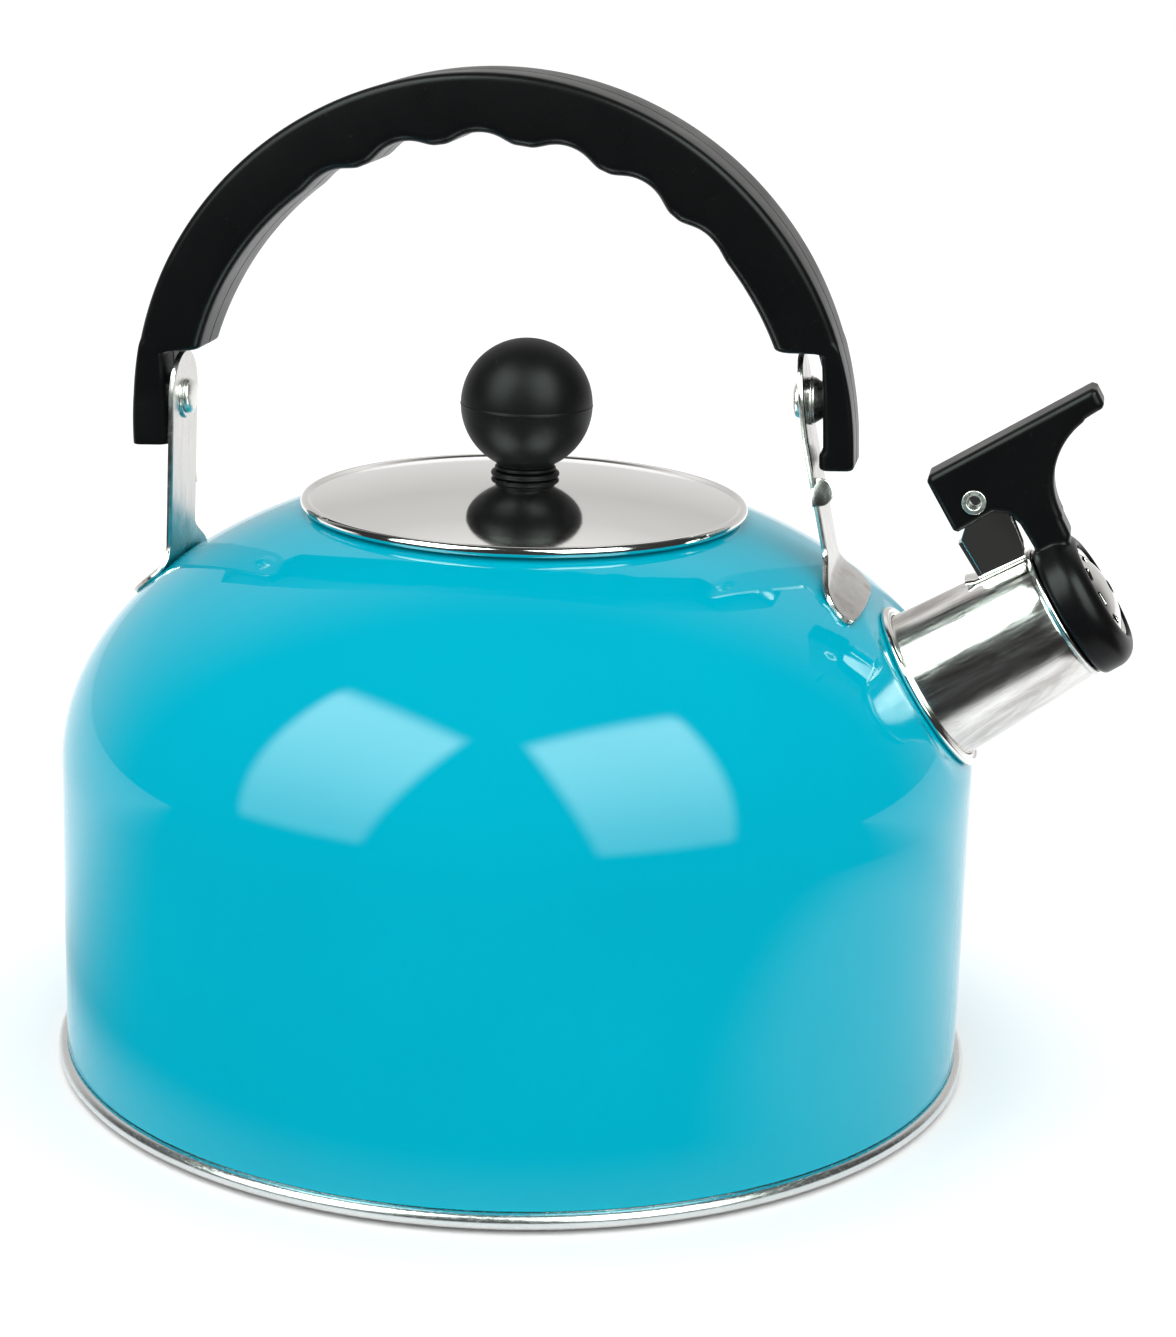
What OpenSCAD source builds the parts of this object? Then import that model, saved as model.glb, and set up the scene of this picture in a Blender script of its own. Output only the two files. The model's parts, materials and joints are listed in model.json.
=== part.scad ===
// Stovetop whistling kettle. The origin is on the body's axis, on the plane that the base rests on.
// +X points to the spout and +Z up. The handle folds towards +Y.

/* [Body] */
// Outer radius of the straight wall
body_r = 94.3; // [93:0.1:96]
// Height at which the wall turns into the shoulder
wall_h = 63.5; // [62:0.5:65]
// Rise of the shoulder, which is a quarter ellipse in section
shoulder_h = 58.9; // [58:0.1:60]
// Thickness of the body's steel sheet
sheet = 0.6; // [0.5:0.1:0.8]
// Outer radius of the rolled base rim
rim_r = 96; // [95.8:0.1:97.5]
// Radius of the heat-spreading base
heat_r = 72; // [60:1:80]

/* [Lid] */
// Outer radius of the lid's rolled edge
lid_r = 45.7; // [45.4:0.1:46.5]
// Height of the lid's dome at its centre
lid_top = 122.5; // [122:0.1:124]
// Radius of the ball knob
knob_r = 13.4; // [12:0.1:15]
// Height of the ball's centre
knob_z = 137.3; // [136.5:0.1:139]

/* [Spout] */
// Rise of the spout's axis above the horizontal, in degrees
spout_tilt = 34; // [33:0.5:35]
// Outer radius of the tube at the body
tube_r = 16; // [15.5:0.1:16]
// Outer radius of the tube at its mouth
mouth_r = 13.9; // [13.6:0.1:14.2]
// Length of the tube from the flange to the mouth
tube_len = 32.4; // [32:0.1:33]

/* [Handle] */
// Outer radius of the handle's arch
arch_r = 74.4; // [74:0.1:75]
// Depth of the grip's arms from the outer edge to the inner edge
grip_depth = 12.4; // [12:0.1:13]
// Height of the finger crests over the inner edge
crest_h = 1.3; // [1:0.1:1.8]
// Half of the grip's width at the top
grip_half = 10.5; // [9:0.5:12]
// Tilt of the handle in its own plane, as its two straps land at different heights
handle_tilt = 3; // [2:0.5:4]
// Inward lean of each strap, in degrees
strap_lean = 4.5; // [3:0.5:5]
// Half of a strap's width
strap_half = 8; // [7.5:0.1:8.5]

/* [Whistle] */
// Half of the lever's width
lever_half = 5.2; // [5:0.1:6]
// Outer radius of the whistle cap
cap_r = 14.9; // [14.6:0.1:15.4]
// Outer radius of the hollow pivot rivet's shank
pivot_r = 1.8; // [1.6:0.1:1.9]

/* [Hidden] */
$fn = 96;

turquoise = [0.0, 0.69, 0.8];
steel = [0.78, 0.78, 0.77];
black = [0.07, 0.07, 0.08];
alloy = [0.66, 0.67, 0.69];
brass = [0.75, 0.6, 0.3];
play = 0.05;                 // radial clearance of a pin that turns in its hole
eps = 0.01;

// Base: rim bead, pan floor, aluminium disc and steel cap, from the top down
bead_r = 1.6;
bead_z = 2;
floor_z = 2.6;
floor_t = 0.5;
cap_t = 0.5;
upstand_top = 5.5;
wall_foot = 3.7;

// Neck: the shell's edge turns down in a rolled lip
lip_r = 1.5;
lip_join = 44;
lip_drop = 5.5;
shoulder_steps = 30;

// Lid
lid_bead = 1.1;
lid_sheet = 0.5;
lid_gap = 0.35;              // room between the lid's bead and the shoulder
lid_sag = 5.2;
skirt_r = 41.2;
skirt_drop = 12.5;
skirt_flange = 5.5;
screw_r = 2;
neck_bar_r = 5.8;
collar_t = 1.2;
insert_r = 3.2;
insert_len = 10;

// Spout
spout_root = [84, 0, 84];
tube_t = 0.8;
flange_r = 18.2;
flange_t = 1.7;
hole_r = tube_r - 0.4;
pad_r = 24;                  // reach of the flat pad pressed into the shoulder, under the flange

// Handle, in its own tilted frame: u runs along the hinge, v up, from the arch's centre
arch_pos = [-7.1, 0, 129.4];
hinge_v = 8.7;
step_v = 19;                 // height of the ledge where the arm narrows to its skirt
skirt_in = [68.2, 66.6];     // inner faces of the front and rear skirts
skirt_end = [-4.5, -0.5];    // lowest points of the front and rear skirts
heel_in = 67.4;                // the front skirt's heel comes closer to its strap
heel_top = 0.5;
end_half = 7;
core_t = 1.2;
core_half = 5.6;
core_r = 70;
core_end = 1;
edge_r = 3;
groove_r = 9;
groove_depth = 2;
groove_angles = [41.7, 57, 72.3, 88.7, 104, 119.3];
grip_screw_at = [[35, 65], [80.5, 65], [145, 65]];
grip_screw_r = 1.4;

// Straps and their rivets
strap_t = 1.2;
strap_u = [63.7, 64.4];      // inner faces of the front and rear straps at the hinge
strap_top = 1.4;
strap_foot = -37;
flare_half = 17;
ear_r = 2.8;
ear_drop = 17.3;
set_drop = 6;
boss_r = 4.6;
boss_t = 1.95;
boss_back = 0.3;
washer_r = 4.7;
washer_t = 0.5;
shank_r = 2.5;
head_r = 3.6;
tail_r = 3.4;
tail_u = 71.05;
foot_t = 1;

// Whistle, in the spout's frame: s runs along the tube from the flange, n up from its axis
pivot_s = 28.5;
pivot_n = 29;
cheek_t = 0.8;
cheek_in = 2.1;
cap_start = tube_len + 0.3;
cap_len = 8.3;
cap_bore = 10.2;
plug_r = 12;
plug_len = 2.6;
disc_t = 0.4;
wire_r = 0.35;
coil_r = 2.35;
coil_pitch = 0.78;

function shoulder_z(r, grow) =
    wall_h + (shoulder_h + grow) * sqrt(1 - pow(r / (body_r + grow), 2));

// Points up the shoulder's section, from the wall to radius r_end, grown outwards by grow
function shoulder_arc(r_end, grow) =
    [for (i = [0:shoulder_steps])
        let (t = i / shoulder_steps * acos(r_end / (body_r + grow)))
        [(body_r + grow) * cos(t), wall_h + (shoulder_h + grow) * sin(t)]];

function arc(c, r, a0, a1, n) =
    [for (i = [0:n]) let (a = a0 + (a1 - a0) * i / n) c + r * [cos(a), sin(a)]];

lip_slope = atan2(lip_join * pow(shoulder_h, 2), (shoulder_z(lip_join, 0) - wall_h) * pow(body_r, 2));
lip_c = [lip_join, shoulder_z(lip_join, 0)] - lip_r * [sin(lip_slope), cos(lip_slope)];
neck_r = lip_c[0] - lip_r;
lid_seat = shoulder_z(lid_r - lid_bead, 0) + lid_gap + lid_bead;
function lid_z(r) = lid_top - lid_sag * pow(r / (lid_r - lid_bead), 2);
function lid_under(r) = lid_z(r) - lid_sheet;
tube_slope = (tube_r - mouth_r) / tube_len;

module at_spout_axis() {
    translate(spout_root) rotate([0, 90 - spout_tilt, 0]) children();
}

// Lays a flat shape drawn in (s, n) in the kettle's middle plane
module at_spout_side() {
    translate(spout_root) rotate([0, -spout_tilt, 0]) rotate([90, 0, 0]) children();
}

module in_handle() {
    translate(arch_pos) rotate([0, -handle_tilt, 0]) children();
}

// Turns a flat shape drawn in (y, v) to face along u
module along_u(u, t) {
    translate([u, 0, 0]) rotate([90, 0, 90]) linear_extrude(t) children();
}

module ring(r_out, r_in, h) {
    difference() {
        cylinder(r = r_out, h = h);
        translate([0, 0, -eps]) cylinder(r = r_in, h = h + 2 * eps);
    }
}

// ---- body and base ----

module body_outside() {
    rotate_extrude($fn = 180)
        polygon(concat([[0, wall_foot], [body_r, wall_foot]], shoulder_arc(lip_join, 0),
                       arc(lip_c, lip_r, 90 - lip_slope, 90, 2), [[0, lip_c[1] + lip_r]]));
}

module body_inside() {
    lip_foot = lip_c[1] - lip_drop;
    rotate_extrude($fn = 180)
        polygon(concat([[0, wall_foot - 1], [body_r - sheet, wall_foot - 1]],
                       shoulder_arc(lip_join + 0.2, -sheet),
                       arc(lip_c, lip_r - sheet, 90 - lip_slope, 180, 6),
                       [[neck_r + sheet, lip_foot], [neck_r, lip_foot]],
                       arc(lip_c, lip_r, 180, 90, 8),
                       [[lip_c[0], lip_c[1] + 3], [0, lip_c[1] + 3]]));
}

module body_shell() color(turquoise) {
    difference() {
        body_outside();
        at_spout_axis() cylinder(r = pad_r, h = 30);
        difference() {
            body_inside();
            at_spout_axis() translate([0, 0, -sheet]) cylinder(r = pad_r, h = 30);
        }
        at_spout_axis() translate([0, 0, -10]) cylinder(r = hole_r, h = 20);
    }
}

module base_pan() color(steel) {
    upstand_r = body_r - sheet - play;
    rotate_extrude($fn = 180) {
        translate([0, floor_z]) square([upstand_r, floor_t]);
        translate([upstand_r - floor_t, floor_z]) square([floor_t, upstand_top - floor_z]);
        translate([rim_r - bead_r, bead_z]) circle(r = bead_r, $fn = 48);
    }
}

module heat_disc() color(alloy) {
    translate([0, 0, cap_t]) cylinder(r = heat_r - cap_t, h = floor_z - cap_t);
}

module base_cap() color(steel) {
    difference() {
        cylinder(r = heat_r, h = floor_z);
        translate([0, 0, cap_t]) cylinder(r = heat_r - cap_t, h = floor_z);
    }
}

// ---- spout ----

module tube_cone(grow, from, to) {
    translate([0, 0, from])
        cylinder(r1 = tube_r - tube_slope * from + grow, r2 = tube_r - tube_slope * to + grow,
                 h = to - from);
}

module spout_tube() color(steel) at_spout_axis() {
    difference() {
        union() {
            tube_cone(0, 0, tube_len);
            translate([0, 0, -3]) cylinder(r = hole_r - play, h = 3 + eps);
            translate([0, 0, tube_len - 0.5])
                rotate_extrude() translate([mouth_r - 0.1, 0]) circle(r = 0.5, $fn = 24);
        }
        tube_cone(-tube_t, 0, tube_len + 1);
        translate([0, 0, -3 - eps]) cylinder(r = hole_r - tube_t, h = 3 + 2 * eps);
    }
}

module spout_flange() color(steel) at_spout_axis() {
    rotate_extrude() {
        translate([tube_r + play, 0]) square([flange_r - tube_r - play - 0.8, flange_t - 0.1]);
        translate([flange_r - 0.8, 0.8]) circle(r = 0.8, $fn = 24);
        translate([flange_r - 0.9, 0]) square([0.6, 0.8]);
    }
}

// ---- straps ----

// Patch of sheet that follows the shoulder, under the plan outline given
module foot_patch(outline) {
    intersection() {
        rotate_extrude($fn = 180)
            polygon(concat([for (r = [88:-3:55]) [r, shoulder_z(r, foot_t)]],
                           [for (r = [55:3:88]) [r, shoulder_z(r, 0)]]));
        translate([0, 0, wall_h]) linear_extrude(shoulder_h) polygon(outline);
    }
}

// The foot reaches further to the side that the ear is on
function foot_outline(x) =
    [[x - 0.6, 9], [x - 0.6, -10], [x + 0.2, -16], [x + 2.4, -19], [x + 6, -21.5], [x + 8.6, -19],
     [x + 9.4, -10], [x + 9.2, 2], [x + 7.6, 8], [x + 4, 11], [x, 11]];

module strap_outline() {
    translate([0, strap_top]) circle(r = strap_half);
    polygon([[-strap_half, strap_top], [-strap_half, -30], [-flare_half, -35], [-flare_half, strap_foot],
             [strap_half + 2, strap_foot], [strap_half + 2, -34], [strap_half, -31], [strap_half, strap_top]]);
}

// Side view of the strap: straight past the hinge, then bent outwards by set
module strap_profile(set) {
    reach = (45 - set_drop) * tan(set);
    polygon([[0, 12], [0, -set_drop], [reach, -45], [reach + strap_t, -45], [strap_t, -set_drop], [strap_t, 12]]);
}

// Ear bent out from the strap's edge, as a stop for the handle
module strap_ear(set) {
    translate([(ear_drop - set_drop) * tan(set), 0.4 - strap_half, -ear_drop]) rotate([90, 0, 0]) linear_extrude(strap_t + 0.4) {
        translate([0, -ear_r]) square([1.9, 2 * ear_r]);
        translate([1.7, 0]) circle(r = ear_r);
    }
}

module strap(u, set) {
    difference() {
        union() {
            translate([u, 0, hinge_v]) rotate([0, -strap_lean, 0]) {
                intersection() {
                    along_u(-1, 8) strap_outline();
                    translate([0, 40, 0]) rotate([90, 0, 0]) linear_extrude(80) strap_profile(set);
                }
                strap_ear(set);
            }
            translate([u - boss_back, 0, hinge_v]) rotate([0, 90, 0]) cylinder(r = boss_r, h = boss_t);
        }
        translate([u - 5, 0, hinge_v]) rotate([0, 90, 0]) cylinder(r = shank_r + play, h = 10);
    }
}

module front_strap() color(steel) {
    difference() {
        union() {
            in_handle() strap(strap_u[0], 5.4);
            foot_patch(foot_outline(62));
        }
        body_outside();
    }
}

module rear_strap() color(steel) {
    difference() {
        union() {
            in_handle() rotate([0, 0, 180]) strap(strap_u[1], 0);
            rotate([0, 0, 180]) foot_patch(foot_outline(73.6));
        }
        body_outside();
    }
}

// ---- handle ----

module arch_band(r, r_out, half) {
    rotate([90, 0, 0]) rotate_extrude(angle = 180, $fn = 180)
        translate([r, -half]) square([r_out - r, 2 * half]);
}

// Steel band inside the grip, which carries the rivets
module handle_core() color(steel) in_handle() {
    difference() {
        arch_band(core_r, core_r + core_t, core_half);
        translate([-100, -10, -1]) cube([200, 20, 1 + core_end]);
        translate([-100, 0, hinge_v]) rotate([0, 90, 0]) cylinder(r = shank_r, h = 200);
    }
}

// Section of one half of the grip, with its outer edges rounded
module grip_section() {
    r_in = arch_r - grip_depth;
    translate([r_in, 0]) square([grip_depth, grip_half - edge_r]);
    translate([r_in + edge_r, 0]) square([grip_depth - 2 * edge_r, grip_half]);
    translate([r_in + edge_r, grip_half - edge_r]) circle(r = edge_r, $fn = 48);
    translate([arch_r - edge_r, grip_half - edge_r]) circle(r = edge_r, $fn = 48);
}

// Section of the finger pad, which stands in from the grip's inner edge
module pad_section() {
    r_in = arch_r - grip_depth - crest_h;
    half = grip_half - 1.1;
    translate([r_in, 0]) square([edge_r + crest_h, half - edge_r]);
    translate([r_in + edge_r, 0]) square([crest_h, half]);
    translate([r_in + edge_r, half - edge_r]) circle(r = edge_r, $fn = 48);
}

// Room below one ledge, between the skirt and the kettle's middle
module ledge_cut(inner) {
    corner = 2.5;
    rotate([90, 0, 0]) linear_extrude(60, center = true) {
        translate([0, -30]) square([inner, 30 + step_v - corner]);
        translate([0, -30]) square([inner - corner, 30 + step_v]);
        translate([inner - corner, step_v - corner]) circle(r = corner, $fn = 32);
    }
}

module grip_half_body() {
    difference() {
        intersection() {
            union() {
                rotate([90, 0, 0]) rotate_extrude(angle = 180, $fn = 180) grip_section();
                rotate([0, -groove_angles[0], 0]) rotate([90, 0, 0])
                    rotate_extrude(angle = groove_angles[5] - groove_angles[0], $fn = 180) pad_section();
                translate([skirt_in[0], -grip_half, skirt_end[0]])
                    cube([arch_r - skirt_in[0], grip_half, -skirt_end[0]]);
                translate([-arch_r, -grip_half, skirt_end[1]])
                    cube([arch_r - skirt_in[1], grip_half, -skirt_end[1]]);
            }
            rotate([90, 0, 90]) linear_extrude(200, center = true)
                polygon([[0, -10], [-end_half, -10], [-end_half, 12], [-end_half - 1, 20],
                         [-grip_half, 48], [-grip_half, 80], [0, 80]]);
        }
        ledge_cut(skirt_in[0]);
        mirror([1, 0, 0]) ledge_cut(skirt_in[1]);
        for (a = groove_angles)
            rotate([0, -a, 0]) translate([arch_r - grip_depth - crest_h + groove_depth - groove_r, 0, 0])
                rotate([90, 0, 0]) cylinder(r = groove_r, h = 60, center = true);
        arch_band(core_r - play, core_r + core_t + play, core_half + play);
        translate([-100, 0, hinge_v]) rotate([0, 90, 0]) cylinder(r = shank_r + play, h = 200);
        for (m = [0, 1])
            mirror([m, 0, 0]) translate([core_r - 0.6, 0, hinge_v]) rotate([0, 90, 0])
                cylinder(r = tail_r + 0.4, h = 3);
    }
    translate([heel_in, -end_half, skirt_end[0]])
        cube([skirt_in[0] - heel_in + eps, end_half, heel_top - skirt_end[0]]);
}

module at_grip_screws() {
    for (p = grip_screw_at)
        rotate([0, -p[0], 0]) translate([p[1], 0, 0]) rotate([90, 0, 0]) children();
}

module grip_front() color(black) in_handle() {
    difference() {
        grip_half_body();
        at_grip_screws() translate([0, 0, -eps]) cylinder(r = grip_screw_r, h = 6);
    }
}

module grip_back() color(black) in_handle() {
    difference() {
        mirror([0, 1, 0]) grip_half_body();
        at_grip_screws() {
            translate([0, 0, -12]) cylinder(r = grip_screw_r + 0.2, h = 12 + eps);
            translate([0, 0, -12]) cylinder(r = 2.5, h = 7.5);
        }
    }
}

module grip_screws() color(steel) in_handle() {
    at_grip_screws() {
        translate([0, 0, -4.5]) cylinder(r = grip_screw_r, h = 10);
        difference() {
            translate([0, 0, -6.3]) cylinder(r = 2.4, h = 1.8);
            translate([0, 0, -6.4]) cube([3.2, 0.7, 1.6], center = true);
            translate([0, 0, -6.4]) cube([0.7, 3.2, 1.6], center = true);
        }
    }
}

module strap_rivet(u) {
    head_h = 1.7;
    dome_r = (pow(head_r, 2) + pow(head_h, 2)) / (2 * head_h);
    head_at = u - boss_back;
    translate([0, 0, hinge_v]) rotate([0, 90, 0]) {
        translate([0, 0, head_at - eps]) cylinder(r = shank_r, h = tail_u - head_at + 2 * eps);
        translate([0, 0, tail_u]) cylinder(r = tail_r, h = 1.1);
        intersection() {
            translate([0, 0, head_at - head_h + dome_r]) sphere(r = dome_r);
            translate([0, 0, head_at - head_h]) cylinder(r = head_r, h = head_h);
        }
    }
}

module front_rivet() color(steel) in_handle() strap_rivet(strap_u[0]);

module rear_rivet() color(steel) in_handle() mirror([1, 0, 0]) strap_rivet(strap_u[1]);

// Places a washer against the outer face of a strap's boss
module at_strap_boss(side) {
    in_handle() mirror([side, 0, 0])
        translate([strap_u[side] - boss_back + boss_t, 0, hinge_v]) rotate([0, 90, 0]) children();
}

module flat_washers() color(steel) {
    for (side = [0, 1]) at_strap_boss(side) ring(washer_r, shank_r + play, washer_t);
}

// Conical washer at the front that keeps the hinge under friction
module spring_washer() color(steel) {
    gap = skirt_in[0] - strap_u[0] + boss_back - boss_t - washer_t;
    at_strap_boss(0) translate([0, 0, washer_t]) rotate_extrude()
        polygon([[shank_r + play, gap - 0.7], [shank_r + play, gap], [3.4, gap],
                 [4.7, 0.6], [4.7, 0], [3.9, 0]]);
}

// ---- lid ----

module lid_shell() color(steel) {
    edge = lid_r - lid_bead;
    hole = screw_r + 0.2;
    steps = 12;
    join = 1.0;
    rotate_extrude($fn = 180)
        polygon(concat([for (i = [0:steps]) let (r = hole + (edge - join - hole) * i / steps) [r, lid_z(r)]],
                       arc([edge, lid_seat], lid_bead, 130, -180, 18),
                       [for (i = [steps:-1:0]) let (r = hole + (edge - join - hole) * i / steps)
                           [r, lid_under(r)]]));
}

// Collar under the lid, which drops into the neck and keeps the lid in place
module lid_skirt() color(steel) {
    low = lid_seat - skirt_drop;
    rotate_extrude($fn = 180)
        polygon([[skirt_r, low], [skirt_r, lid_under(skirt_r)],
                 [skirt_r - skirt_flange, lid_under(skirt_r - skirt_flange) - 0.1],
                 [skirt_r - skirt_flange, lid_under(skirt_r - skirt_flange) - 0.6],
                 [skirt_r - 0.6, lid_under(skirt_r) - 0.5], [skirt_r - 0.6, low]]);
}

module knob_collar() color(black) {
    translate([0, 0, lid_top]) rotate_extrude() {
        translate([screw_r + 0.2, 0]) square([4.2, collar_t]);
        translate([screw_r + 4.4, collar_t / 2]) circle(r = collar_t / 2, $fn = 24);
    }
}

module knob() color(black) {
    foot = lid_top + collar_t;
    difference() {
        union() {
            translate([0, 0, knob_z]) sphere(r = knob_r, $fn = 128);
            translate([0, 0, foot]) cylinder(r = neck_bar_r, h = knob_z - foot);
            translate([0, 0, foot + 0.9]) rotate_extrude() translate([neck_bar_r, 0]) circle(r = 0.6, $fn = 24);
        }
        translate([0, 0, foot - 1]) cylinder(r = insert_r, h = insert_len + 1);
    }
}

module knob_insert() color(brass) {
    translate([0, 0, lid_top + collar_t]) difference() {
        cylinder(r = insert_r, h = insert_len);
        translate([0, 0, -eps]) cylinder(r = screw_r, h = insert_len - 1);
    }
}

module knob_screw() color(steel) {
    head_top = lid_z(0) - lid_sheet - 0.9;
    difference() {
        union() {
            translate([0, 0, head_top - eps]) cylinder(r = screw_r, h = lid_top + collar_t + 6 - head_top);
            translate([0, 0, head_top - 2]) cylinder(r = 3.8, h = 2);
        }
        translate([0, 0, head_top - 2]) cube([4.6, 0.9, 2.2], center = true);
        translate([0, 0, head_top - 2]) cube([0.9, 4.6, 2.2], center = true);
    }
}

module knob_washer() color(steel) {
    translate([0, 0, lid_z(0) - lid_sheet - 0.9]) ring(5.5, screw_r + 0.15, 0.8);
}

// ---- whistle ----

module cheek_outline() {
    translate([pivot_s, pivot_n]) circle(r = 4.3, $fn = 64);
    polygon([[21.9, 13], [21.9, 23.4], [24.2, 25.4], [24.2, pivot_n], [32.8, pivot_n], [33.2, 24],
             [32, 16.2], [31.3, 15], [31.2, 13]]);
}

module whistle_bracket() color(steel) difference() {
    union() {
        at_spout_side() {
            for (m = [0, 1]) mirror([0, 0, m]) translate([0, 0, cheek_in]) linear_extrude(cheek_t)
                difference() {
                    cheek_outline();
                    translate([pivot_s, pivot_n]) circle(r = pivot_r + play, $fn = 48);
                }
            translate([21.2, 13, -cheek_in - cheek_t]) cube([cheek_t, 10, 2 * (cheek_in + cheek_t)]);
        }
        at_spout_axis() intersection() {
            tube_cone(cheek_t, 0, tube_len);
            translate([-40, -4.4, 17.5]) cube([40, 8.8, 13.8]);
        }
    }
    at_spout_axis() tube_cone(0.07, -1, tube_len + 1);
}

// Side view of the lever: heel over the pivot, thumb tip, and stem down to the cap
module lever_outline() {
    difference() {
        polygon([[22.6, 25.2], [21.9, 25.9], [22.4, 37.1], [23.4, 38], [59.4, 36.9], [60.2, 36.1],
                 [60, 33], [59.2, 32.3], [55.4, 32], [56.6, 17.2], [41.9, 17.2], [41.3, 13.5],
                 [cap_start + 6.6, 11], [cap_start + 1.2, 11], [cap_start + 1.2, 20.5], [33, 23.3], [30.6, 25.2]]);
        translate([56.8, 17.2]) circle(r = 14.8);
    }
}

// Hollow under the lever, open at the heel, for the bracket's cheeks and the spring
module lever_pocket() {
    gap = cheek_in + cheek_t + 0.3;
    translate([0, 0, -gap]) linear_extrude(2 * gap)
        polygon([[10, 10], [10, 31.6], [23.8, 31.6], [23.8, 35.4], [34, 35.2], [35.2, 33], [35.2, 24],
                 [34.6, 10]]);
}

module whistle_cap() {
    cap_end = cap_start + cap_len;
    foot_round = 1.4;
    nose_round = 4.5;
    at_spout_axis() rotate_extrude() {
        difference() {
            union() {
                translate([cap_bore, cap_start]) square([cap_r - cap_bore - foot_round, cap_len - nose_round]);
                translate([cap_r - foot_round, cap_start + foot_round]) circle(r = foot_round, $fn = 32);
                intersection() {
                    translate([cap_r - nose_round, cap_end - nose_round]) circle(r = nose_round, $fn = 64);
                    translate([cap_bore, cap_end - nose_round]) square([nose_round + 1, nose_round]);
                }
                translate([cap_r - foot_round, cap_start + foot_round])
                    square([foot_round, cap_len - foot_round - nose_round]);
            }
            square([cap_bore, 60]);
        }
        translate([cap_bore - 1, cap_start - plug_len]) square([plug_r - cap_bore + 1, plug_len + 1]);
    }
}

module whistle_lever() color(black) {
    difference() {
        union() {
            at_spout_side() linear_extrude(2 * lever_half, center = true) lever_outline();
            whistle_cap();
        }
        at_spout_side() lever_pocket();
        at_spout_axis() translate([0, 0, cap_start + 1]) cylinder(r = cap_bore, h = 20);
        at_spout_axis() translate([0, 0, cap_start - 5]) cylinder(r = cap_bore - 1, h = 20);
        at_spout_side() translate([pivot_s, pivot_n, -10]) cylinder(r = pivot_r, h = 20);
    }
}

module whistle_rivet() color(steel) at_spout_side() translate([pivot_s, pivot_n, 0]) {
    difference() {
        union() {
            cylinder(r = pivot_r, h = 2 * lever_half + 0.8, center = true);
            for (m = [0, 1]) mirror([0, 0, m]) translate([0, 0, lever_half])
                cylinder(r1 = 2.6, r2 = 2.3, h = 0.5);
        }
        cylinder(r = 1.25, h = 4 * lever_half, center = true);
    }
}

// Torsion spring: a leg on the bracket, a coil round the rivet and a leg under the lever's roof
function spring_path() =
    let (steps = 36, from = 250, to = 1125, half = coil_pitch * (to - from) / 720)
    concat([[-5.2, -4.6, -half], [-2.6, -3.4, -half]],
           [for (i = [0:steps]) let (a = from + (to - from) * i / steps)
               [coil_r * cos(a), coil_r * sin(a), -half + coil_pitch * (a - from) / 360]],
           [[-1.6, 4.6, half], [-3.6, 5.9, half]]);

module wire(path, r) {
    sides = 8;
    last = len(path) - 1;
    function unit(v) = v / norm(v);
    function way(i) = unit(path[min(i + 1, last)] - path[max(i - 1, 0)]);
    points = [for (i = [0:last]) let (s = unit(cross(way(i), [0, 0, 1])), t = cross(s, way(i)))
                 for (k = [0:sides - 1]) path[i] + r * (s * cos(360 * k / sides) + t * sin(360 * k / sides))];
    sheath = [for (i = [0:last - 1]) for (k = [0:sides - 1]) let (j = (k + 1) % sides)
                 [i * sides + k, i * sides + j, (i + 1) * sides + j, (i + 1) * sides + k]];
    polyhedron(points, concat([[for (k = [sides - 1:-1:0]) k]], sheath,
                              [[for (k = [0:sides - 1]) last * sides + k]]));
}

module whistle_spring() color(steel) at_spout_side() translate([pivot_s, pivot_n, 0])
    wire(spring_path(), wire_r);

module whistle_outer_disc() color(steel) at_spout_axis() {
    r = cap_bore - 0.05;
    foot = cap_start + 3.9;
    rim = cap_start + cap_len - 1.2;
    rise = 2.6;
    dome_r = (pow(r, 2) + pow(rise, 2)) / (2 * rise);
    difference() {
        union() {
            translate([0, 0, foot]) ring(r, r - disc_t, rim - foot + eps);
            intersection() {
                difference() {
                    translate([0, 0, rim + rise - dome_r]) sphere(r = dome_r);
                    translate([0, 0, rim + rise - dome_r]) sphere(r = dome_r - disc_t);
                }
                translate([0, 0, rim - 0.3]) cylinder(r = r, h = rise + 1);
            }
        }
        translate([0, 0, rim]) cylinder(r = 1.6, h = 10);
        for (a = [0:60:300]) rotate([0, 0, a]) translate([6.4, 0, rim - 1]) cylinder(r = 0.9, h = 10, $fn = 24);
    }
}

module whistle_inner_disc() color(steel) at_spout_axis() {
    r = cap_bore - 0.05;
    translate([0, 0, cap_start + 1.05]) {
        difference() {
            cylinder(r = r, h = 2.8);
            translate([0, 0, disc_t]) cylinder(r = r - disc_t, h = 2.8);
            translate([0, 0, -1]) cylinder(r = 1.6, h = 3);
        }
    }
}

body_shell();
base_pan();
heat_disc();
base_cap();
spout_tube();
spout_flange();
rear_strap();
front_strap();
handle_core();
grip_front();
grip_back();
grip_screws();
rear_rivet();
front_rivet();
flat_washers();
spring_washer();
lid_shell();
lid_skirt();
knob();
knob_collar();
knob_insert();
knob_screw();
knob_washer();
whistle_bracket();
whistle_lever();
whistle_rivet();
whistle_spring();
whistle_outer_disc();
whistle_inner_disc();
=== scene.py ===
"""Looks and studio for the stovetop whistling kettle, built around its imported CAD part.

Lengths are in millimetres until a mesh is made, and the frame is the part's own: +X to the spout, +Z up.
"""

import json
from math import asin, atan2, cos, degrees, pi, radians, sin, sqrt

import bmesh
import bpy
import numpy as np
from mathutils import Matrix, Vector


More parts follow.
